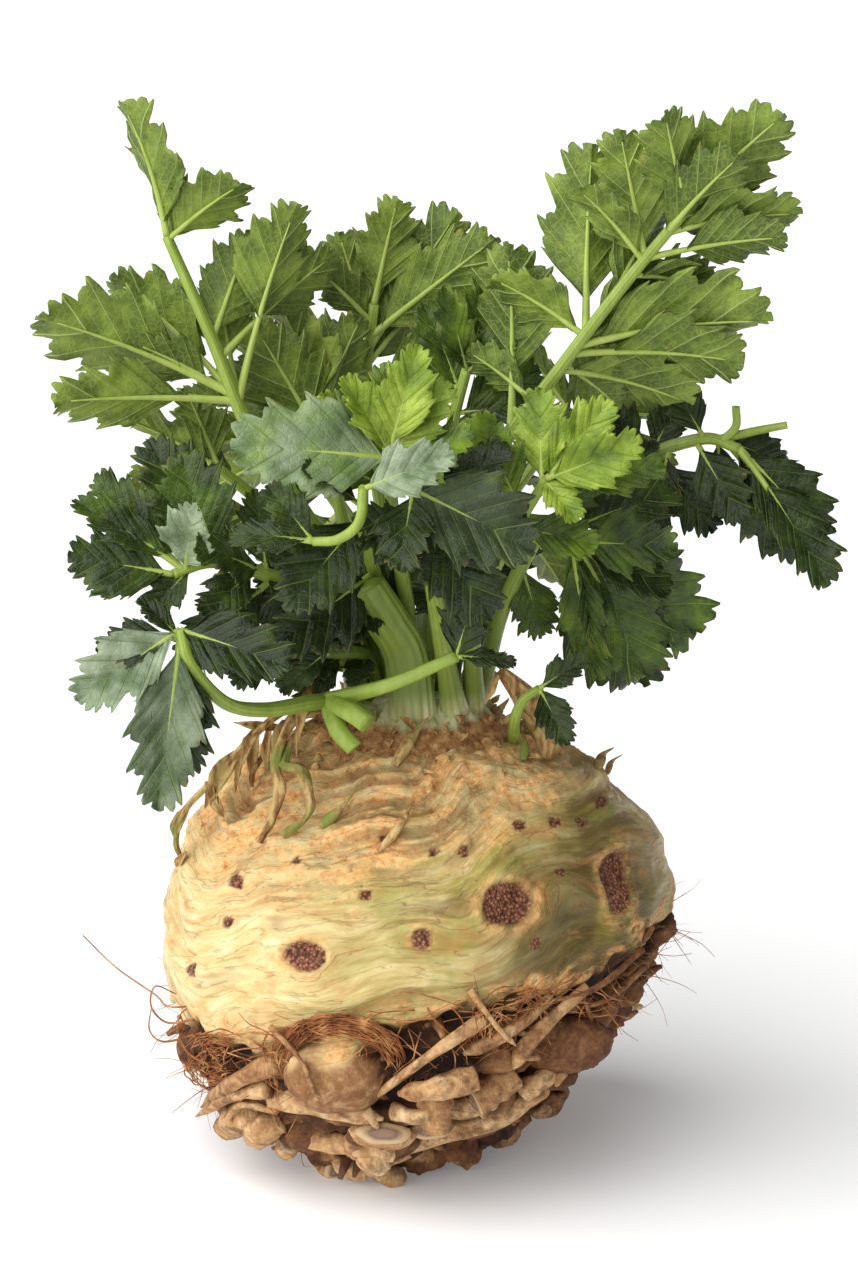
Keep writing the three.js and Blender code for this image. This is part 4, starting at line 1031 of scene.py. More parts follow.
# One entry for each leafy stem: its foot on the crown, places that it passes, and its leaflets.
# The fillers are leaflets in the gaps between those: at, tip, width and the share that is stalk.
leafyStems = {
    "tall_left": {
        "seed": 1, "foot": (-13.7, 6.1), "radii": (4.2, 3.4, 1.3), "face": lowerFace,
        "slot": "leaf", "tone": 0.5,
        "path": [(-22, 149, -2), (-40.5, 179, -8), (-50.5, 203, -7), (-61.5, 228, -3)],
        "leaflets": [
            leaflet(4, (-72, 260, -4), 0.9, turn=-60, fold=24), leaflet(4, (-43, 240, -10), 1.05, turn=10),
            leaflet(4, (-61, 247, 6), 0.55, turn=-20), leaflet(2.5, (-93, 208, -14), 0.9, stalk=0.28),
            leaflet(2.5, (-76, 219, 4), 0.8, stalk=0.3),
            leaflet(2.5, (-89, 187, -22), 0.7, stalk=0.3, turn=25),
            leaflet(2.5, (-29.5, 236, -4), 0.8, stalk=0.42), leaflet(2.5, (-50, 220, 8), 0.8, stalk=0.4),
        ],
        "fillers": [
            (2.8, (-20, 225, 10), 0.8, 0.4), (3.0, (-41, 230, 4), 0.8, 0.1),
            (2.4, (-70, 202, -10), 0.85, 0.3), (2.3, (-58, 190, -4), 0.8, 0.25),
            (3.3, (-62, 216, 6), 0.6, 0.2),
        ],
    },
    "mid_left": {
        "seed": 13, "foot": (-6.6, 2.4), "radii": (3.2, 2.8, 1.3), "face": lowerFace,
        "slot": "leaf", "tone": 0.5,
        "path": [(-13, 139, 9), (-20, 164, 8), (-24, 186, 8)],
        "leaflets": [
            leaflet(3, (-34, 212, 14), 0.95), leaflet(3, (-14, 210, 18), 0.8),
            leaflet(2.6, (-52, 196, 14), 0.8, stalk=0.25),
        ],
        "fillers": [
            (2.2, (-5, 196, 6), 0.8, 0.2), (1.9, (-42, 184, 0), 0.8, 0.25),
            (2.5, (-40, 206, 0), 0.8, 0.15),
        ],
    },
    "left_back": {
        "seed": 25, "foot": (-8.4, 12.4), "radii": (3.6, 3, 1.3), "face": lowerFace,
        "slot": "leaf", "tone": 0.5,
        "path": [(-22, 145, 10), (-38, 162, 10), (-50, 172, 6)],
        "leaflets": [
            leaflet(3, (-73, 184, 0), 0.75), leaflet(3, (-58, 192, 10), 0.8),
            leaflet(3, (-72, 168, 8), 0.8), leaflet(2, (-52, 150, 22), 0.9, face=backFace),
        ],
        "fillers": [
            (2.6, (-60, 178, 14), 0.8, 0.15), (2.0, (-54, 156, 0), 0.8, 0.2),
            (1.6, (-30, 180, 26), 0.8, 0.2),
        ],
    },
    "centre_top": {
        "seed": 37, "foot": (-1.8, 6.8), "radii": (3.2, 2.8, 1.3), "face": lowerFace,
        "slot": "leaf", "tone": 0.5,
        "path": [(-7, 149, 16), (-13, 189, 22), (-11, 213, 24)],
        "leaflets": [
            leaflet(3, (-5, 239, 22), 0.7), leaflet(2.7, (-20, 231, 28), 0.75),
            leaflet(2.7, (19.5, 229, 18), 0.6, turn=-25), leaflet(2.4, (8, 221, 34), 0.8),
        ],
        "fillers": [
            (2.2, (-36, 210, 34), 0.8, 0.2), (2.5, (10, 236, 26), 0.75, 0.15),
            (1.9, (-2, 198, 32), 0.85, 0.2), (2.8, (-26, 222, 18), 0.8, 0.1),
            (2.1, (16, 204, 20), 0.85, 0.2),
        ],
    },
    "centre_right": {
        "seed": 49, "foot": (4.5, 5.4), "radii": (3.2, 2.8, 1.3), "face": upperFace,
        "slot": "leaf", "tone": 0.5,
        "path": [(5, 149, 2), (8, 179, -4), (12, 195.5, -8)],
        "leaflets": [
            leaflet(3, (6, 215.5, -14), 0.5, stalk=0.02),
            leaflet(2.9, (17, 219, -2), 0.75, stalk=0.15, turn=20),
            leaflet(3, (27, 206, -12), 0.6, stalk=0.05), leaflet(2.2, (30, 196, 2), 0.8, stalk=0.15),
        ],
        "fillers": [
            (2.6, (1, 212, 2), 0.7, 0.1), (2.3, (26, 186, -8), 0.8, 0.15), (2.0, (-12, 190, 0), 0.8, 0.2),
        ],
    },
    "tall_right": {
        "seed": 61, "foot": (6.3, -3), "radii": (3.2, 2.8, 1.4), "face": lowerFace,
        "slot": "leaf", "tone": 0.5,
        "path": [(9, 144, -12), (18, 172, -18), (35.5, 196.5, -20), (50.5, 216, -18), (66, 234.5, -14)],
        "leaflets": [
            leaflet(5, (88.5, 256, -16), 0.9, stalk=0.04), leaflet(5, (59.5, 255.5, -24), 0.8, stalk=0.06),
            leaflet(4.7, (94, 233, -10), 0.75), leaflet(4.4, (49, 253, -12), 0.8),
            leaflet(4.4, (38.5, 238, -24), 0.7), leaflet(3.5, (42.5, 250, -6), 0.75, stalk=0.18),
            leaflet(3.5, (18, 217, -18), 0.85, stalk=0.1),
            leaflet(3.4, (87, 207, -14), 0.8, stalk=0.12, turn=20),
            leaflet(3.4, (73, 219, -4), 0.75, stalk=0.12), leaflet(3.2, (68, 187, -6), 0.85, stalk=0.12),
        ],
        "fillers": [
            (2.6, (12, 200, -12), 0.85, 0.2), (3.0, (50, 186, -10), 0.85, 0.15),
            (4.1, (74, 214, -8), 0.75, 0.1), (3.8, (62, 236, -6), 0.8, 0.1),
            (2.4, (38, 184, -10), 0.85, 0.15), (4.6, (78, 246, -22), 0.8, 0.05),
            (4.3, (90, 227, -16), 0.8, 0.3), (3.1, (80, 197, -14), 0.85, 0.25),
            (2.3, (22, 226, -12), 0.8, 0.3),
        ],
    },
    "far_right": {
        "seed": 73, "foot": (12.4, 8.4), "radii": (3.6, 3, 1.3), "face": upperFace,
        "slot": "dark_leaf", "tone": 0.2,
        "path": [(26, 149, 10), (50, 171, 12), (70, 179, 8), (80, 176.5, 4)],
        "leaflets": [
            leaflet(4, (101.5, 153, 0), 0.8), leaflet(4, (101.5, 142, -10), 0.65, stalk=0.3),
            leaflet(3, (81, 158, -4), 0.8, stalk=0.15), leaflet(3.5, (93, 172, 14), 0.8),
            leaflet(2.5, (66, 190, 18), 0.8),
        ],
        "fillers": [
            (3.1, (62, 194, 8), 0.8, 0.15), (3.7, (90, 160, 8), 0.8, 0.15), (2.6, (60, 156, 0), 0.8, 0.15),
            (4.0, (97, 150, 10), 0.8, 0.1), (2.3, (44, 190, 14), 0.85, 0.15),
            (3.4, (76, 164, 14), 0.8, 0.1), (2.4, (74, 156, 4), 0.8, 0.2), (2.2, (60, 178, 6), 0.85, 0.1),
        ],
        "twigs": [
            {"at": 3.4, "path": [(84, 181, 8), (92, 182.5, 8)], "radii": (1.2, 0.9)},
            {"at": 3.5, "path": [(79, 182, 6), (79, 187, 6)], "radii": (1.1, 1)},
        ],
    },
    "low_right": {
        "seed": 85, "foot": (14.9, 1.6), "radii": (3.8, 3, 1.5), "face": upperFace,
        "slot": "dark_leaf", "tone": 0.38,
        "path": [(21, 137, -6), (31, 156, -12), (39, 153, -14)],
        "leaflets": [
            leaflet(3, (64, 151.5, -20), 0.9), leaflet(3, (57, 120, -12), 0.8),
            leaflet(3, (69.5, 131, -2), 0.85), leaflet(3, (45.5, 119, -20), 0.5, turn=40),
            leaflet(1.6, (31, 130, 0), 0.7),
        ],
        "fillers": [
            (2.6, (64, 166, 0), 0.8, 0.15), (3.0, (50, 136, -4), 0.85, 0.1),
            (2.2, (44, 172, -8), 0.85, 0.15), (2.5, (56, 118, -2), 0.8, 0.2),
            (3.0, (62, 140, -16), 0.8, 0.1),
        ],
    },
    "front_right": {
        "seed": 97, "foot": (13.9, -5.6), "radii": (3.6, 3, 1.3), "face": upperFace,
        "slot": "light_leaf", "tone": 0.8,
        "path": [(14, 134, -20), (22, 153, -32), (31, 168, -38)],
        "leaflets": [
            leaflet(3, (54, 177.5, -44), 0.75, turn=20), leaflet(3, (38.5, 157.5, -46), 0.8, stalk=0),
            leaflet(3, (47, 187, -34), 0.75), leaflet(3, (30, 190, -30), 0.8),
        ],
        "fillers": [
            (2.8, (60, 171, -34), 0.65, 0.3), (2.4, (14, 184, -36), 0.8, 0.2),
            (2.7, (46, 177, -30), 0.8, 0.1), (2.2, (44, 152, -34), 0.8, 0.15),
        ],
    },
    "dark_centre": {
        "seed": 109, "foot": (9.2, -11.8), "radii": (3.9, 3, 1.5), "face": upperFace,
        "slot": "dark_leaf", "tone": 0.16,
        "path": [(5, 134, -26), (2, 151.5, -42), (-1, 165, -50)],
        "leaflets": [
            leaflet(3, (28, 150, -54), 0.95, stalk=0.02, sheen=0.1),
            leaflet(3, (-4, 145, -68), 0.8, turn=25), leaflet(2.4, (22, 176, -40), 0.8, stalk=0.25),
        ],
        "fillers": [
            (2.2, (-16, 158, -50), 0.8, 0.15), (2.6, (18, 134, -50), 0.8, 0.1),
            (2.2, (26, 160, -36), 0.85, 0.15),
        ],
    },
    "front_centre": {
        "seed": 121, "foot": (0.6, -7), "radii": (3.2, 2.8, 1.4), "face": upperFace,
        "slot": "light_leaf", "tone": 0.8,
        "path": [(-3, 139, -14), (-6, 159, -32), (-7, 174, -44)],
        "leaflets": [
            leaflet(3, (0.5, 200, -42), 0.7, fold=24), leaflet(3, (-18.5, 192, -46), 0.75, fold=24),
            leaflet(3, (8, 191, -40), 0.75, fold=20),
            leaflet(3, (-45, 175, -48), 0.85, stalk=0.04, tone=0.5, sheen=0.6),
            leaflet(2.8, (-24, 188, -38), 0.7),
        ],
        "fillers": [
            (2.5, (14, 178, -50), 0.75, 0.15), (2.4, (-28, 174, -34), 0.8, 0.15),
            (2.7, (-8, 196, -34), 0.7, 0.1),
        ],
    },
    "curled_centre": {
        "seed": 133, "foot": (-5.7, -4), "radii": (3, 2.8, 1.3), "face": upperFace,
        "slot": "dark_leaf", "tone": 0.16,
        "path": [(-8, 136, -8), (-13, 154, -30), (-13, 165, -57)],
        "leaflets": [
            leaflet(3, (9, 173, -64), 0.8, fold=24, turn=20, sheen=0.9),
            leaflet(2.4, (-32, 136, -56), 0.85),
        ],
        "fillers": [
            (2.3, (-2, 146, -60), 0.8, 0.15), (1.9, (-36, 148, -38), 0.8, 0.2),
            (2.6, (-28, 170, -52), 0.75, 0.15), (1.3, (-22, 128, -34), 0.85, 0.15),
            (1.5, (-34, 128, -40), 0.85, 0.15),
        ],
        "twigs": [
            {"at": 3, "path": [(-14, 157, -64), (-19, 153, -64), (-25, 152.5, -62)], "radii": (1.3, 1.1),
             "leaflets": [leaflet(3, (-36, 166, -58), 0.8, fold=26), leaflet(3, (-45, 154, -58), 0.7)]},
        ],
    },
    "left_cluster": {
        "seed": 145, "foot": (-14.9, -1.6), "radii": (3.6, 3, 1.3), "face": upperFace,
        "slot": "dark_leaf", "tone": 0.3,
        "path": [(-20, 136.5, -14), (-37, 145, -26), (-50, 148, -33), (-59.5, 145, -37)],
        "leaflets": [
            leaflet(4, (-85, 149, -40), 0.85), leaflet(3.7, (-53, 162, -46), 0.9, sheen=0.9),
            leaflet(3.8, (-79, 169, -26), 0.6, stalk=0.2), leaflet(3.8, (-84, 163, -34), 0.5, stalk=0.2),
            leaflet(3, (-57.5, 175, -26), 0.9), leaflet(2.3, (-54, 151, -50), 0.6),
        ],
        "fillers": [
            (2.0, (-40, 166, -26), 0.8, 0.15), (2.2, (-52, 134, -44), 0.75, 0.15),
            (3.3, (-72, 160, -28), 0.8, 0.15), (3.5, (-66, 134, -40), 0.8, 0.1),
            (2.7, (-66, 178, -22), 0.8, 0.2), (3.9, (-80, 140, -32), 0.7, 0.1),
            (1.6, (-46, 131, -24), 0.8, 0.15), (1.2, (-40, 121, -18), 0.85, 0.15),
            (1.9, (-58, 124, -32), 0.8, 0.15), (0.9, (-30, 130, -14), 0.85, 0.2),
            (1.4, (-36, 141, -30), 0.85, 0.1),
        ],
    },
    "side_shoot": {
        "seed": 157, "foot": (-11.8, -9.2), "radii": (3, 2.8, 1.6), "face": upperFace,
        "slot": "dark_leaf", "tone": 0.16,
        "path": [(-22, 114, -27), (-37, 112, -38), (-47, 114, -46), (-55, 123, -49), (-57.5, 131.5, -47)],
        "leaflets": [
            leaflet(5, (-82.5, 114, -50), 0.75, stalk=0.08, sheen=0.9),
            leaflet(5, (-30.5, 122, -58), 0.8, stalk=0.05),
            leaflet(5, (-63, 87.5, -62), 0.6, stalk=0.12, sheen=0.5, arch=-0.04),
        ],
        "fillers": [
            (4.6, (-68, 139, -44), 0.6, 0.2), (4.8, (-78, 126, -44), 0.8, 0.15),
            (4.9, (-56, 96, -50), 0.7, 0.2),
        ],
        "twigs": [
            {"at": 1.05, "path": [(-7, 118, -38), (9.5, 125, -40)], "radii": (2, 1.4),
             "leaflets": [leaflet(2, (15, 141.5, -38), 1, stalk=0.04), leaflet(2, (24, 123, -44), 0.5)]},
            {"at": 1, "path": [(-19.5, 107, -36), (-15.5, 102.5, -38)], "radii": (2.4, 2.2)},
            {"at": 1, "path": [(-16, 111, -39), (-12.5, 108.5, -42)], "radii": (2.5, 2.4)},
        ],
    },
    "back_left": {
        "seed": 169, "foot": (-1, 15), "radii": (3.6, 3, 1.3), "face": backFace,
        "slot": "leaf", "tone": 0.5,
        "path": [(-12, 150, 30), (-26, 172, 44), (-34, 188, 52)],
        "leaflets": [
            leaflet(3, (-62, 190, 52), 0.85), leaflet(3, (-24, 208, 62), 0.8),
            leaflet(2.4, (-54, 168, 62), 0.85), leaflet(2, (-20, 166, 72), 0.85),
        ],
        "fillers": [
            (3.0, (-48, 214, 58), 0.85, 0.1), (1.5, (-38, 142, 60), 0.85, 0.15),
            (2.2, (-8, 190, 66), 0.85, 0.2), (2.6, (-62, 176, 42), 0.85, 0.2),
        ],
    },
    "back_right": {
        "seed": 181, "foot": (6.6, 13.5), "radii": (3.6, 3, 1.3), "face": backFace,
        "slot": "leaf", "tone": 0.5,
        "path": [(14, 150, 28), (28, 172, 42), (40, 186, 50)],
        "leaflets": [
            leaflet(3, (68, 186, 54), 0.85), leaflet(3, (24, 206, 58), 0.8),
            leaflet(2.4, (58, 164, 62), 0.85), leaflet(2, (14, 172, 72), 0.85),
        ],
        "fillers": [
            (3.0, (54, 210, 52), 0.85, 0.1), (1.5, (38, 142, 58), 0.85, 0.15),
            (2.2, (30, 184, 70), 0.85, 0.2), (2.6, (66, 172, 42), 0.85, 0.2),
        ],
    },
}


def addStalk(shape, points, radii, footWay, tone):
    footWide, footThick, top = radii

    def radius(t, angles):
        swell = math.exp(-9 * t)
        slim = top + (0.75 * footThick - top) * (1 - t)
        ribs = 1 + 0.055 * np.cos(11 * angles) * (0.4 + 0.6 * (1 - t))
        offGroove = np.abs((angles - 0.5 * math.pi) % (2 * math.pi) - math.pi)
        flute = 1 - 0.22 * np.exp(-(offGroove / 0.7) ** 2)
        return (slim + (footWide - slim) * swell) * ribs, (slim + (footThick - slim) * swell) * ribs * flute

    sides, ribCount = 33, 11
    steps = 12 * (len(points) - 1)
    veins = np.broadcast_to(np.arange(sides) / sides * ribCount, (steps + 1, sides))
    addTube(shape, points, radius, sides, steps, footWay, 1, tone=tone, veins=veins)


# Leaflets on a stem or a twig, which start a little lower one after the other by the step
def addLeaflets(shape, points, leaflets, stem, seed, step=0.0):
    last = len(points) - 1
    for i, given in enumerate(leaflets):
        more = {key: value for key, value in given.items() if key not in ("at", "tip", "face", "tone")}
        base = curvePoint(points, min(1, (given["at"] - step * i) / last))
        face, tone = given.get("face", stem["face"]), given.get("tone", stem["tone"])
        addLeaflet(shape, base, seen(given["tip"]), np.array(face), seed + i, tone, **more)


def makeLeafyStem(name, stem):
    shape = Shape()
    foot = np.array([*stem["foot"], rootBody["crownTop"] + 0.3])
    points = [foot] + [seen(p) for p in stem["path"]]
    addStalk(shape, points, stem["radii"], unit(np.array([-foot[1], foot[0], 0.0])), 0.5)
    last = len(points) - 1
    addLeaflets(shape, points, stem["leaflets"], stem, stem["seed"], 0.03)
    # painted shade: the filler leaflets, which sit behind the others, take 0.72 of their stem's tone and so
    # are darker
    for i, (at, tip, wide, stalk) in enumerate(stem["fillers"]):
        addLeaflet(shape, curvePoint(points, min(1, at / last)), seen(tip), np.array(stem["face"]),
                   stem["seed"] + 900 + i, stem["tone"] * 0.72, wide=wide, stalk=stalk,
                   turn=30 * (draw(i + 11) - 0.5))
    for twig in stem.get("twigs", []):
        way = [curvePoint(points, min(1, twig["at"] / last))] + [seen(p) for p in twig["path"]]
        thick, thin = twig["radii"]

        def radius(t, angles, thick=thick, thin=thin):
            half = (thick + (thin - thick) * t) * (1 + 0.05 * np.cos(7 * angles))
            return half, half

        addTube(shape, way, radius, 21, 24, slot=1, tone=0.5, along=0.6)
        addLeaflets(shape, way, twig.get("leaflets", []), stem, stem["seed"] + 50)
    return makePiece(shape, f"{name}_foliage", ("leaf", "stem"), stem["slot"], f"{name}_leaf")


for name, stem in leafyStems.items():
    made = makeLeafyStem(name, stem)
    print("leafy stem made:", name, len(made.data.polygons), "faces")


def addFlatStalk(shape, points, radius, sides=20, steps=40, tone=0.5, ribs=9, depth=0.07, along=0.6, slot=0):
    def ribbed(t, angles):
        wide, thick = radius(t)
        folds = 1 + depth * np.cos(ribs * angles + 2.5 * t)
        return wide * folds, thick * folds

    veins = np.broadcast_to(np.arange(sides) / sides * ribs, (steps + 1, sides))
    addTube(shape, points, ribbed, sides, steps, slot=slot, tone=tone, along=along, veins=veins)


def makeCutStalk():
    shape = Shape()
    top = rootBody["crownTop"] + 0.3
    points = [np.array([-1, -14.5, top]), seen((-1, 120, -15)), seen((-6, 131, -20)), seen((-13, 142, -24))]
    points = [points[0], curvePoint(points, 0.5), curvePoint(points, 0.75), points[3]]
    sides, steps = 60, 50
    rise = np.linspace(0.02, 0.5, steps + 1)[:, None].repeat(sides, axis=1)  # pale at the foot
    addFlatStalk(shape, points, lambda t: (5.6 - 0.4 * t, 3 - 0.2 * t), sides, steps, 0.35, 15, 0.05, rise)
    makePiece(shape, "cut_leaf_stalk", ("stem",), "light_leaf", "cut_stalk")


# A thin withered flap from its foot to its tip: a scale, a bud or a scrap of dry leaf
def addFlap(shape, foot, tip, out, wide, seed, cup=0.5, curl=0.15, tone=0.5, slot=0):
    rows, cols = 9, 5
    t = np.linspace(0, 1, rows)[:, None]
    s = np.linspace(-1, 1, cols)[None, :]
    run = tip - foot
    length = float(np.linalg.norm(run))
    side = unit(np.cross(run, out))
    up = np.cross(side, run / length)
    spots = np.stack(np.broadcast_arrays(t * 3 + seed * 7.1, s * 1.3, seed), axis=-1).reshape(-1, 3)
    crumple = layeredNoise(spots, 3, seed).reshape(rows, cols)
    half = wide * (0.45 + 0.55 * np.sin(math.pi * t ** 0.8)) * (1 - 0.9 * t ** 4)
    half = half * (1 + 0.5 * np.abs(s) * crumple)
    rise = curl * length * np.sin(math.pi * t) + cup * half * s ** 2 + 0.35 * wide * crumple
    middle = foot + t[..., None] * run + side * (half * s)[..., None] + up * rise[..., None]
    thick = up * 0.16
    shape.sheet(middle - thick, middle + thick, slot, tone=tone, along=t + 0 * s)


# Withered stalks over the left shoulder: places in the air as seen from the front, then places on the skin
dryStalks = {
    "start": (-19.5, 110.5, -7),
    "ways": [
        {"hanging": [(-31, 112, -12), (-40, 106, -16), (-51, 94, -18), (-58, 86.5, -18), (-60.5, 79, -16),
                     (-59, 73.5, -14)],
         "lying": [], "thick": 1.35, "tone": 0.8},
        {"hanging": [(-30, 110, -20), (-35, 99, -28), (-34, 92, -31)],
         "lying": [(-37, 84, 2.5), (-39, 79, 1.4)], "thick": 1.7, "tone": 0.9},
        {"hanging": [(-29.5, 106, -20), (-33, 98.5, -29), (-29, 97, -33), (-26.6, 90, -37)],
         "lying": [(-28, 86, 4), (-33, 80.5, 2.2)], "thick": 1.55, "tone": 1.0},
        {"hanging": [(-30, 111, -2), (-36, 104, -4)],
         "lying": [(-41, 96, 3), (-42, 93, 1)], "thick": 1.2, "tone": 0.1},
    ],
    # scraps of withered leaf and short thin stalks along them: foot, tip, half width, tone
    "scraps": [
        ((-45, 101, -16), (-53, 87, -20), 2.2, 0.9), ((-52, 94, -18), (-49, 85, -22), 1.6, 0.3),
        ((-57, 88, -18), (-61, 80, -15), 1.6, 0.9), ((-40, 107, -15), (-44, 97, -20), 1.5, 0.7),
        ((-37, 108, -10), (-37.5, 95, -12), 1.2, 0.0), ((-40, 106, -8), (-41, 93, -10), 1.4, 0.1),
        ((-43, 103, -12), (-45.5, 91, -14), 1.1, 0.0), ((-33, 109, -14), (-36, 97, -18), 1.3, 0.1),
        ((-26, 118, -22), (-30, 100, -30), 1.2, 0.0), ((-35, 107.5, -12), (-46, 108.5, -14), 1.3, 1.0),
        ((-58, 76, -16), (-60.5, 72, -12), 0.9, 0.0), ((-50, 90, -20), (-47, 84, -26), 1.2, 0.2),
    ],
}


def makeDryStalksLeft():
    shape = Shape()
    for i, way in enumerate(dryStalks["ways"]):
        points = [seen(p) for p in [dryStalks["start"], *way["hanging"]]] + [onRoot(*p) for p in way["lying"]]

        def radius(t, i=i, thick=way["thick"]):
            wilt = 1 + 0.22 * math.sin(11 * t + i) + 0.14 * math.sin(31 * t + 2 * i)
            return thick * (1 - 0.4 * t) * wilt, thick * (0.75 - 0.35 * t)

        addFlatStalk(shape, points, radius, 16, 70, tone=way["tone"], ribs=5, depth=0.2)
    for i, (foot, tip, wide, tone) in enumerate(dryStalks["scraps"]):
        addFlap(shape, seen(foot), seen(tip), np.array([-0.3, -1, 0.2]), wide, 30 + i, 0.9, 0.12, tone)
    makePiece(shape, "dry_stalks_on_the_left", ("dry",), "dry_stalk", "dry_stalks_left")


def makeDryStalkRight():
    shape = Shape()
    points = [onRoot(32.5, 99.5, 0.4), seen((32, 106, -10)), seen((27, 114, -14)), seen((20.5, 121.5, -15))]

    def radius(t):
        return 1.2 + 2.3 * math.sin(math.pi * t ** 0.8), 0.7 + 0.5 * math.sin(math.pi * t)

    addFlatStalk(shape, points, radius, 20, 50, tone=0.9, ribs=5, depth=0.22)
    for seed, foot, tip, out, wide, cup, curl, tone in (
            (60, (19.5, 121, -16), (16.5, 113, -20), (0.2, -1, 0.2), 1.0, 1.2, 0.1, 0.0),
            (61, (24, 115, -16), (34, 103, -13), (0.5, -1, 0.3), 2.6, 1.0, 0.15, 0.4)):
        addFlap(shape, seen(foot), seen(tip), np.array(out), wide, seed, cup, curl, tone)
    makePiece(shape, "dry_sheath_on_the_right", ("dry",), "dry_stalk", "dry_stalk_right")


neckScales = {"count": 70, "reach": (16.5, 33), "long": (2.0, 7), "wide": (0.4, 1.2), "seed": 900}
buds = [  # small sprouts on the shoulder: seen places and lifts from foot to tip, half width, tone
    {"path": [(-5.7, 97, 0), (-2.5, 102.5, 3), (0.5, 107, 5), (4, 110.5, 8)], "wide": 1.5, "tone": 1.0},
    {"path": [(-9.7, 77.5, 0.2), (-5, 82, 1.8), (-2.4, 86.5, 2.4), (-1.2, 91, 4)], "wide": 1.1, "tone": 0.0},
    {"path": [(-24.5, 83.5, 0.4), (-20, 88, 2), (-15.5, 93, 2.5)], "wide": 1.4, "tone": 1.0},
    {"path": [(26.3, 99.5, 0.4), (27, 103.5, 2.4), (26, 107.5, 4)], "wide": 1.2, "tone": 1.0},
    {"path": [(45, 96, 0), (46.5, 99.5, 1.5), (49.5, 101.5, 2.5)], "wide": 1.4, "tone": 0.0},
    {"path": [(47, 94.5, 0), (49, 98, 1.4), (52, 100, 2.2)], "wide": 0.9, "tone": 0.0},
]


# Papery scales round the neck, the feet of old stalks, with a few sprouts among them
def makeNeckScales():
    shape = Shape()
    near, far = neckScales["reach"]
    short, long = neckScales["long"]
    thin, wide = neckScales["wide"]
    for i in range(neckScales["count"]):
        seed = i + neckScales["seed"]
        turn = spreadTurn(i)
        r = near + (far - near) * draw(seed) ** 1.6
        place = np.array([r * math.cos(turn), r * math.sin(turn), 0.0])
        half = rootHalf[:2] + 1.0
        level = max(0.0, 1 - (place[0] / half[0]) ** 2 - (place[1] / half[1]) ** 2)
        skinTop = rootCentre[2] + rootHalf[2] * math.sqrt(level) - 1.4
        sides = crown["profile"][5:1:-1]  # the crown's outside, from the top down
        place[2] = max(skinTop, np.interp(r, [p[0] for p in sides], [p[1] for p in sides]) - 0.6)
        length = short + (long - short) * draw(seed + 0.2)
        away = np.array([math.cos(turn), math.sin(turn), 0.0])
        upward = 0.9 - 1.2 * (r - near) / (far - near)
        way = unit(away * (0.5 + 0.5 * draw(seed + 0.4)) + np.array([0, 0, upward])
                   + np.cross(away, [0, 0, 1]) * (draw(seed + 0.6) - 0.5) * 1.6)
        green = 0.75 * (draw(seed + 0.5) > 0.8)
        addFlap(shape, place, place + way * length, away + np.array([0, 0, 0.6]),
                thin + (wide - thin) * draw(seed + 0.8), 200 + i, 0.8, 0.1, green)
    for bud in buds:
        def radius(t, wide=bud["wide"]):
            half = wide * (0.55 + 0.45 * math.sin(math.pi * min(1, t * 1.5))) * (1 - 0.85 * t ** 2)
            return half, half * 0.6

        points = [onRoot(*place) for place in bud["path"]]
        addFlatStalk(shape, points, radius, 14, 30, tone=bud["tone"], ribs=4, depth=0.12)
    makePiece(shape, "neck_scales", ("dry",), "dry_stalk")


# Short inner stalks and their small dark leaves, which fill the middle of the bunch.
# Those that lean to the left are given by the place of their top and the tip of their leaf.
innerStalks = {
    "count": 7, "foot": 118.5, "tone": 0.14,
    "leaning": [((-33, 128, -20), (-46, 118, -26)), ((-26, 137, -14), (-40, 146, -20)),
                ((-22, 126, -22), (-34, 116, -26)), ((-36, 121, -10), (-50, 126, -14))],
}


def makeInnerStalks():
    shape = Shape()
    face, tone = np.array(upperFace), innerStalks["tone"]
    for i in range(innerStalks["count"]):
        turn = spreadTurn(i)
        r = 3 + 8.5 * draw(i + 950)
        foot = np.array([r * math.cos(turn), r * math.sin(turn) + 2, innerStalks["foot"]])
        lean = np.array([math.cos(turn), math.sin(turn), 0.0]) * (5 + 9 * draw(i + 960))
        top = foot + lean + np.array([0, 6, 26 + 16 * draw(i + 970)])
        points = [foot, foot + lean * 0.25 + np.array([0, 0, 14]), top]
        addStalk(shape, points, (2.8, 2.5, 1.4), unit(np.array([-foot[1], foot[0], 0.001])), 0.1)
        for k in range(3):
            spread = turn + (k - 1) * 1.7
            off = np.array([math.cos(spread) * 14 - 3, math.sin(spread) * 10, 15 * draw(i * 7 + k + 980)])
            addLeaflet(shape, curvePoint(points, 0.8 + 0.06 * k), top + off, face, 990 + 5 * i + k, tone,
                       wide=0.85, stalk=0.15)
    for i, (top, leafTip) in enumerate(innerStalks["leaning"]):
        foot = np.array([-11 + i, -6 + 3 * i, innerStalks["foot"]])
        points = [foot, (foot + seen(top)) / 2 + np.array([3, 0, 5]), seen(top)]
        addStalk(shape, points, (2.8, 2.4, 1.5), unit(np.array([-foot[1], foot[0], 0.001])), 0.1)
        addLeaflet(shape, seen(top), seen(leafTip), face, 1080 + i, tone, wide=0.9, stalk=0.1)
        below = seen((top[0] + 6, top[1] - 9, top[2]))
        addLeaflet(shape, points[1], below, face, 1090 + i, tone, wide=0.9)
    makePiece(shape, "inner_stalks", ("leaf", "stem"), "dark_leaf")


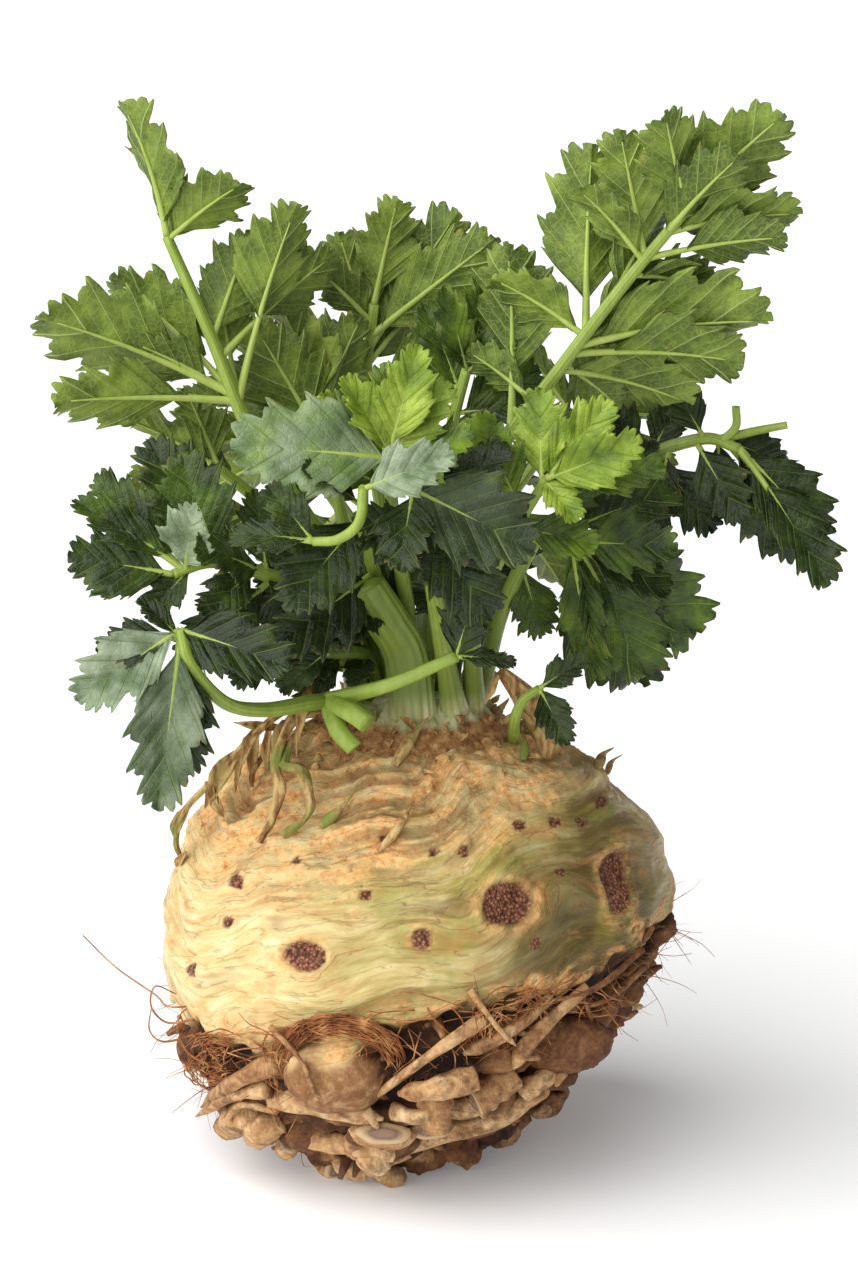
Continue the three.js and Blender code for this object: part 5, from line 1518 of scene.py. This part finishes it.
def makeLowShoot():
    shape = Shape()
    points = [onRoot(24, 103, -1), seen((24, 109, -20)), seen((26, 114, -23)), seen((30, 117, -24))]
    addFlatStalk(shape, points, lambda t: (1.5 - 0.4 * t, 1.3 - 0.3 * t), 20, 24, slot=1)
    for i, (tip, wide) in enumerate([((42, 124.5, -26), 0.75), ((37, 103, -34), 0.8)]):
        addLeaflet(shape, points[-1], seen(tip), np.array(upperFace), 193 + i, 0.2, wide=wide)
    makePiece(shape, "low_shoot_on_the_right", ("leaf", "stem"), "dark_leaf", "low_right_shoot")


makeCutStalk()
makeDryStalksLeft()
makeDryStalkRight()
makeLowShoot()
makeNeckScales()
makeInnerStalks()
print("cut stalk, dry stalks, neck scales and inner stalks made")


# Fibres and small stubs that repeat all over the root's lower half, placed by Geometry Nodes

fibres = {"fine": 1500, "stubs": 60, "seed": 4}


def wispMesh(name, length, thick, bend, sides, steps):
    shape = Shape()
    points = [np.array([0, 0, 0.0]), np.array([bend[0] * 0.4, 0, length * 0.35]),
              np.array([bend[0], bend[1] * 0.5, length * 0.7]), np.array([bend[0] * 1.2, bend[1], length])]
    addTube(shape, points, thinning(thick, 0.6), sides, steps)
    piece = shape.finish(name, [])
    bpy.context.scene.collection.objects.unlink(piece)
    return piece


def scatterTree(name, material):
    tree = bpy.data.node_groups.new(name, "GeometryNodeTree")
    ports = tree.interface
    ports.new_socket("Geometry", in_out="INPUT", socket_type="NodeSocketGeometry")
    for socketName, kind in (("Piece", "NodeSocketObject"), ("Density", "NodeSocketFloat"),
                             ("Where", "NodeSocketFloat"), ("Lean", "NodeSocketFloat"),
                             ("Smallest", "NodeSocketFloat"), ("Largest", "NodeSocketFloat"),
                             ("Seed", "NodeSocketInt")):
        ports.new_socket(socketName, in_out="INPUT", socket_type=kind)
    ports.new_socket("Geometry", in_out="OUTPUT", socket_type="NodeSocketGeometry")
    new, link = tree.nodes.new, tree.links.new
    start, end = new("NodeGroupInput"), new("NodeGroupOutput")
    spots = new("GeometryNodeDistributePointsOnFaces")
    amount = new("ShaderNodeMath")
    amount.operation = "MULTIPLY"
    link(start.outputs["Density"], amount.inputs[0])
    link(start.outputs["Where"], amount.inputs[1])
    link(start.outputs["Geometry"], spots.inputs["Mesh"])
    link(amount.outputs[0], spots.inputs["Density"])
    link(start.outputs["Seed"], spots.inputs["Seed"])
    spin = new("FunctionNodeRandomValue")
    spin.data_type = "FLOAT_VECTOR"
    spin.inputs[0].default_value = (-1, -1, -math.pi)
    spin.inputs[1].default_value = (1, 1, math.pi)
    link(start.outputs["Seed"], spin.inputs["Seed"])
    lean = new("ShaderNodeVectorMath")
    lean.operation = "MULTIPLY"
    axes = new("ShaderNodeCombineXYZ")
    link(start.outputs["Lean"], axes.inputs[0])
    link(start.outputs["Lean"], axes.inputs[1])
    axes.inputs[2].default_value = 1
    link(spin.outputs[0], lean.inputs[0])
    link(axes.outputs[0], lean.inputs[1])
    rotate = new("FunctionNodeRotateRotation")
    rotate.rotation_space = "LOCAL"
    toRotation = new("FunctionNodeEulerToRotation")
    link(lean.outputs[0], toRotation.inputs[0])
    link(spots.outputs["Rotation"], rotate.inputs[0])
    link(toRotation.outputs[0], rotate.inputs[1])
    size = new("FunctionNodeRandomValue")
    size.data_type = "FLOAT"
    link(start.outputs["Smallest"], size.inputs[2])
    link(start.outputs["Largest"], size.inputs[3])
    link(start.outputs["Seed"], size.inputs["Seed"])
    model = new("GeometryNodeObjectInfo")
    link(start.outputs["Piece"], model.inputs["Object"])
    place = new("GeometryNodeInstanceOnPoints")
    link(spots.outputs["Points"], place.inputs["Points"])
    link(model.outputs["Geometry"], place.inputs["Instance"])
    link(rotate.outputs[0], place.inputs["Rotation"])
    link(size.outputs[1], place.inputs["Scale"])
    real = new("GeometryNodeRealizeInstances")
    link(place.outputs[0], real.inputs[0])
    finish = new("GeometryNodeSetMaterial")
    finish.inputs["Material"].default_value = material
    link(real.outputs[0], finish.inputs["Geometry"])
    link(finish.outputs[0], end.inputs[0])
    return tree


def scatter(name, host, model, material, density, lean, smallest, largest, seed, attribute):
    tree = scatterTree(name, material)
    carrier = bpy.data.objects.new(name + "_carrier", host.data)
    bpy.context.scene.collection.objects.link(carrier)
    modifier = carrier.modifiers.new(name, "NODES")
    modifier.node_group = tree
    sockets = {i.name: i.identifier for i in tree.interface.items_tree if i.in_out == "INPUT"}
    modifier[sockets["Piece"]] = model
    modifier[sockets["Density"]] = float(density)
    modifier[sockets["Where"] + "_use_attribute"] = True
    modifier[sockets["Where"] + "_attribute_name"] = attribute
    modifier[sockets["Lean"]] = float(lean)
    modifier[sockets["Smallest"]] = float(smallest)
    modifier[sockets["Largest"]] = float(largest)
    modifier[sockets["Seed"]] = int(seed)
    deps = bpy.context.evaluated_depsgraph_get()
    mesh = bpy.data.meshes.new_from_object(carrier.evaluated_get(deps))
    mesh.name = name
    bpy.data.objects.remove(carrier)
    piece = bpy.data.objects.new(name, mesh)
    bpy.context.scene.collection.objects.link(piece)
    keepInside(piece)
    for polygon in mesh.polygons:
        polygon.use_smooth = True
    return piece


fineModel = wispMesh("fine_fibre", 16, 0.16, (5, 4), 4, 9)
stubModel = wispMesh("short_stub", 5.5, 1.5, (1.2, 0.8), 8, 5)
area = 0.02  # square metres that the rough lower half covers, nearly
fineFibres = scatter("fine_fibres", rootSkin, fineModel, looks["fibre"], fibres["fine"] / area, 1.5, 0.3, 1.0,
                     fibres["seed"], "hair")
stubs = scatter("short_stubs", rootSkin, stubModel, looks["sideRoot"], fibres["stubs"] / area, 1.25, 0.5, 1.2,
                fibres["seed"] + 1, "low")
for model in (fineModel, stubModel):
    bpy.data.objects.remove(model)
print("fibres and stubs placed:", len(fineFibres.data.polygons), len(stubs.data.polygons))

# Loose strands that stand away from the root, as seen from the front

strands = [
    [(-38, 36, -46), (-50, 38, -30), (-62, 37, -22), (-66, 40, -20), (-76, 47, -18), (-84, 55, -18)],
    [(-56, 34, -26), (-63, 33, -22), (-67, 37, -20), (-66, 42, -18), (-61, 40, -16)],
    [(-56, 30, -24), (-64, 28, -20), (-67.5, 31, -20), (-67, 37, -18)],
    [(-50, 22, -34), (-58, 26, -26), (-60, 34, -22), (-56, 38, -22)],
]


# Tangles of fibre that lie along an arc: its middle, how far off it they run, its angles and their count
tangles = [
    ((-19.5, 22.5), (12.5, 18), (5, 130), 170),
    ((-48, 24), (2, 11), (60, 250), 90),
    ((24, 34), (3, 12), (0, 300), 60),
]


def makeStrands():
    shape = Shape()
    for strand in strands:
        addTube(shape, [seen(p) for p in strand], thinning(0.34, 0.6), 6, 60)
    for i in range(70):
        spread = (i / 69 - 0.5) * 104
        up = 36 + 0.17 * spread + 7 * (draw(i + 700) - 0.5)
        places = [onRoot(spread, up, 0.4)]
        heading = -0.25 * math.pi + 0.9 * (draw(i + 720) - 0.5) * math.pi
        for k in range(4):
            heading += 0.9 * (draw(i + 740 + 31 * k) - 0.5)
            spread += 4.5 * math.cos(heading) * (1 if i % 2 else -1)
            up += 3.2 * math.sin(heading)
            if abs(spread) > 56:
                break
            places.append(onRoot(spread, up, 1.0 + 1.8 * draw(i + 780 + k)))
        if len(places) > 2:
            addTube(shape, places, thinning(0.22, 0.5), 5, 22)
    for middle, size, spread, count in tangles:
        for i in range(count):
            seed = i + 31 * count
            start = spread[0] + (spread[1] - spread[0]) * draw(seed)
            off = size[0] + (size[1] - size[0]) * draw(seed + 0.2)
            places = []
            for k in range(5):
                turn = math.radians(start + 13 * k + 9 * (draw(seed + 0.3 * k) - 0.5))
                out = off + 1.6 * (draw(seed + 0.7 * k) - 0.5)
                right, up = middle[0] + out * math.cos(turn), middle[1] + 0.85 * out * math.sin(turn)
                places.append(onRoot(right, up, 0.4 + 2.2 * draw(seed + 0.9 * k)))
            addTube(shape, places, thinning(0.2, 0.5), 4, 14)
    return shape.finish("loose_strands", [looks["fibre"]])


strandPiece = makeStrands()
keepInside(strandPiece)

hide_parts("root")
for piece in (rootSkin, sideRootPiece, crownPiece, fineFibres, stubs, strandPiece):
    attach(piece, "root")
print("root finished")


# Studio: a plain pale floor, one large soft light from the left, weak light from all round, and a camera

def makeFloor():
    mesh = bpy.data.meshes.new("floor")
    mesh.from_pydata([(-8, -8, 0), (8, -8, 0), (8, 8, 0), (-8, 8, 0)], [], [(0, 1, 2, 3)])
    look = Look("floor", roughness=0.9, specular=0.1)
    paper, glow = (*light["floor"], 1), light["glow"]
    mesh.materials.append(look.wear(Base_Color=paper, Emission_Color=(1, 1, 1, 1), Emission_Strength=glow))
    floor = bpy.data.objects.new("floor", mesh)
    bpy.context.scene.collection.objects.link(floor)


def makeLight():
    lamp = bpy.data.lights.new("soft_light", "SUN")
    lamp.energy, lamp.angle = light["power"], math.radians(light["softness"])
    holder = bpy.data.objects.new("soft_light", lamp)
    bpy.context.scene.collection.objects.link(holder)
    holder.rotation_euler = Vector(light["from"]).to_track_quat("Z", "Y").to_euler()
    world = bpy.data.worlds.new("studio")
    world.use_nodes = True
    tree = world.node_tree
    back = tree.nodes["Background"]
    back.inputs[0].default_value = (1, 1, 1, 1)
    rays = tree.nodes.new("ShaderNodeLightPath")
    strength = tree.nodes.new("ShaderNodeMapRange")  # the backdrop is white, and lights the root weakly
    strength.inputs["To Min"].default_value, strength.inputs["To Max"].default_value = light["fill"], 1.0
    tree.links.new(rays.outputs["Is Camera Ray"], strength.inputs["Value"])
    tree.links.new(strength.outputs[0], back.inputs[1])
    bpy.context.scene.world = world


makeFloor()
makeLight()
bpy.context.scene.view_settings.view_transform = "Standard"

lens = bpy.data.cameras.new("camera")
lens.lens = camera["lens"]
lens.clip_start, lens.clip_end = 0.05, 20
holder = bpy.data.objects.new("camera", lens)
bpy.context.scene.collection.objects.link(holder)
aim = Vector(camera["aim"]) * mm
holder.location = aim + Vector((0, -math.cos(viewTilt), math.sin(viewTilt))) * camera["distance"] * mm
holder.rotation_euler = (math.pi / 2 - viewTilt, 0, 0)
bpy.context.scene.camera = holder
print("studio made")
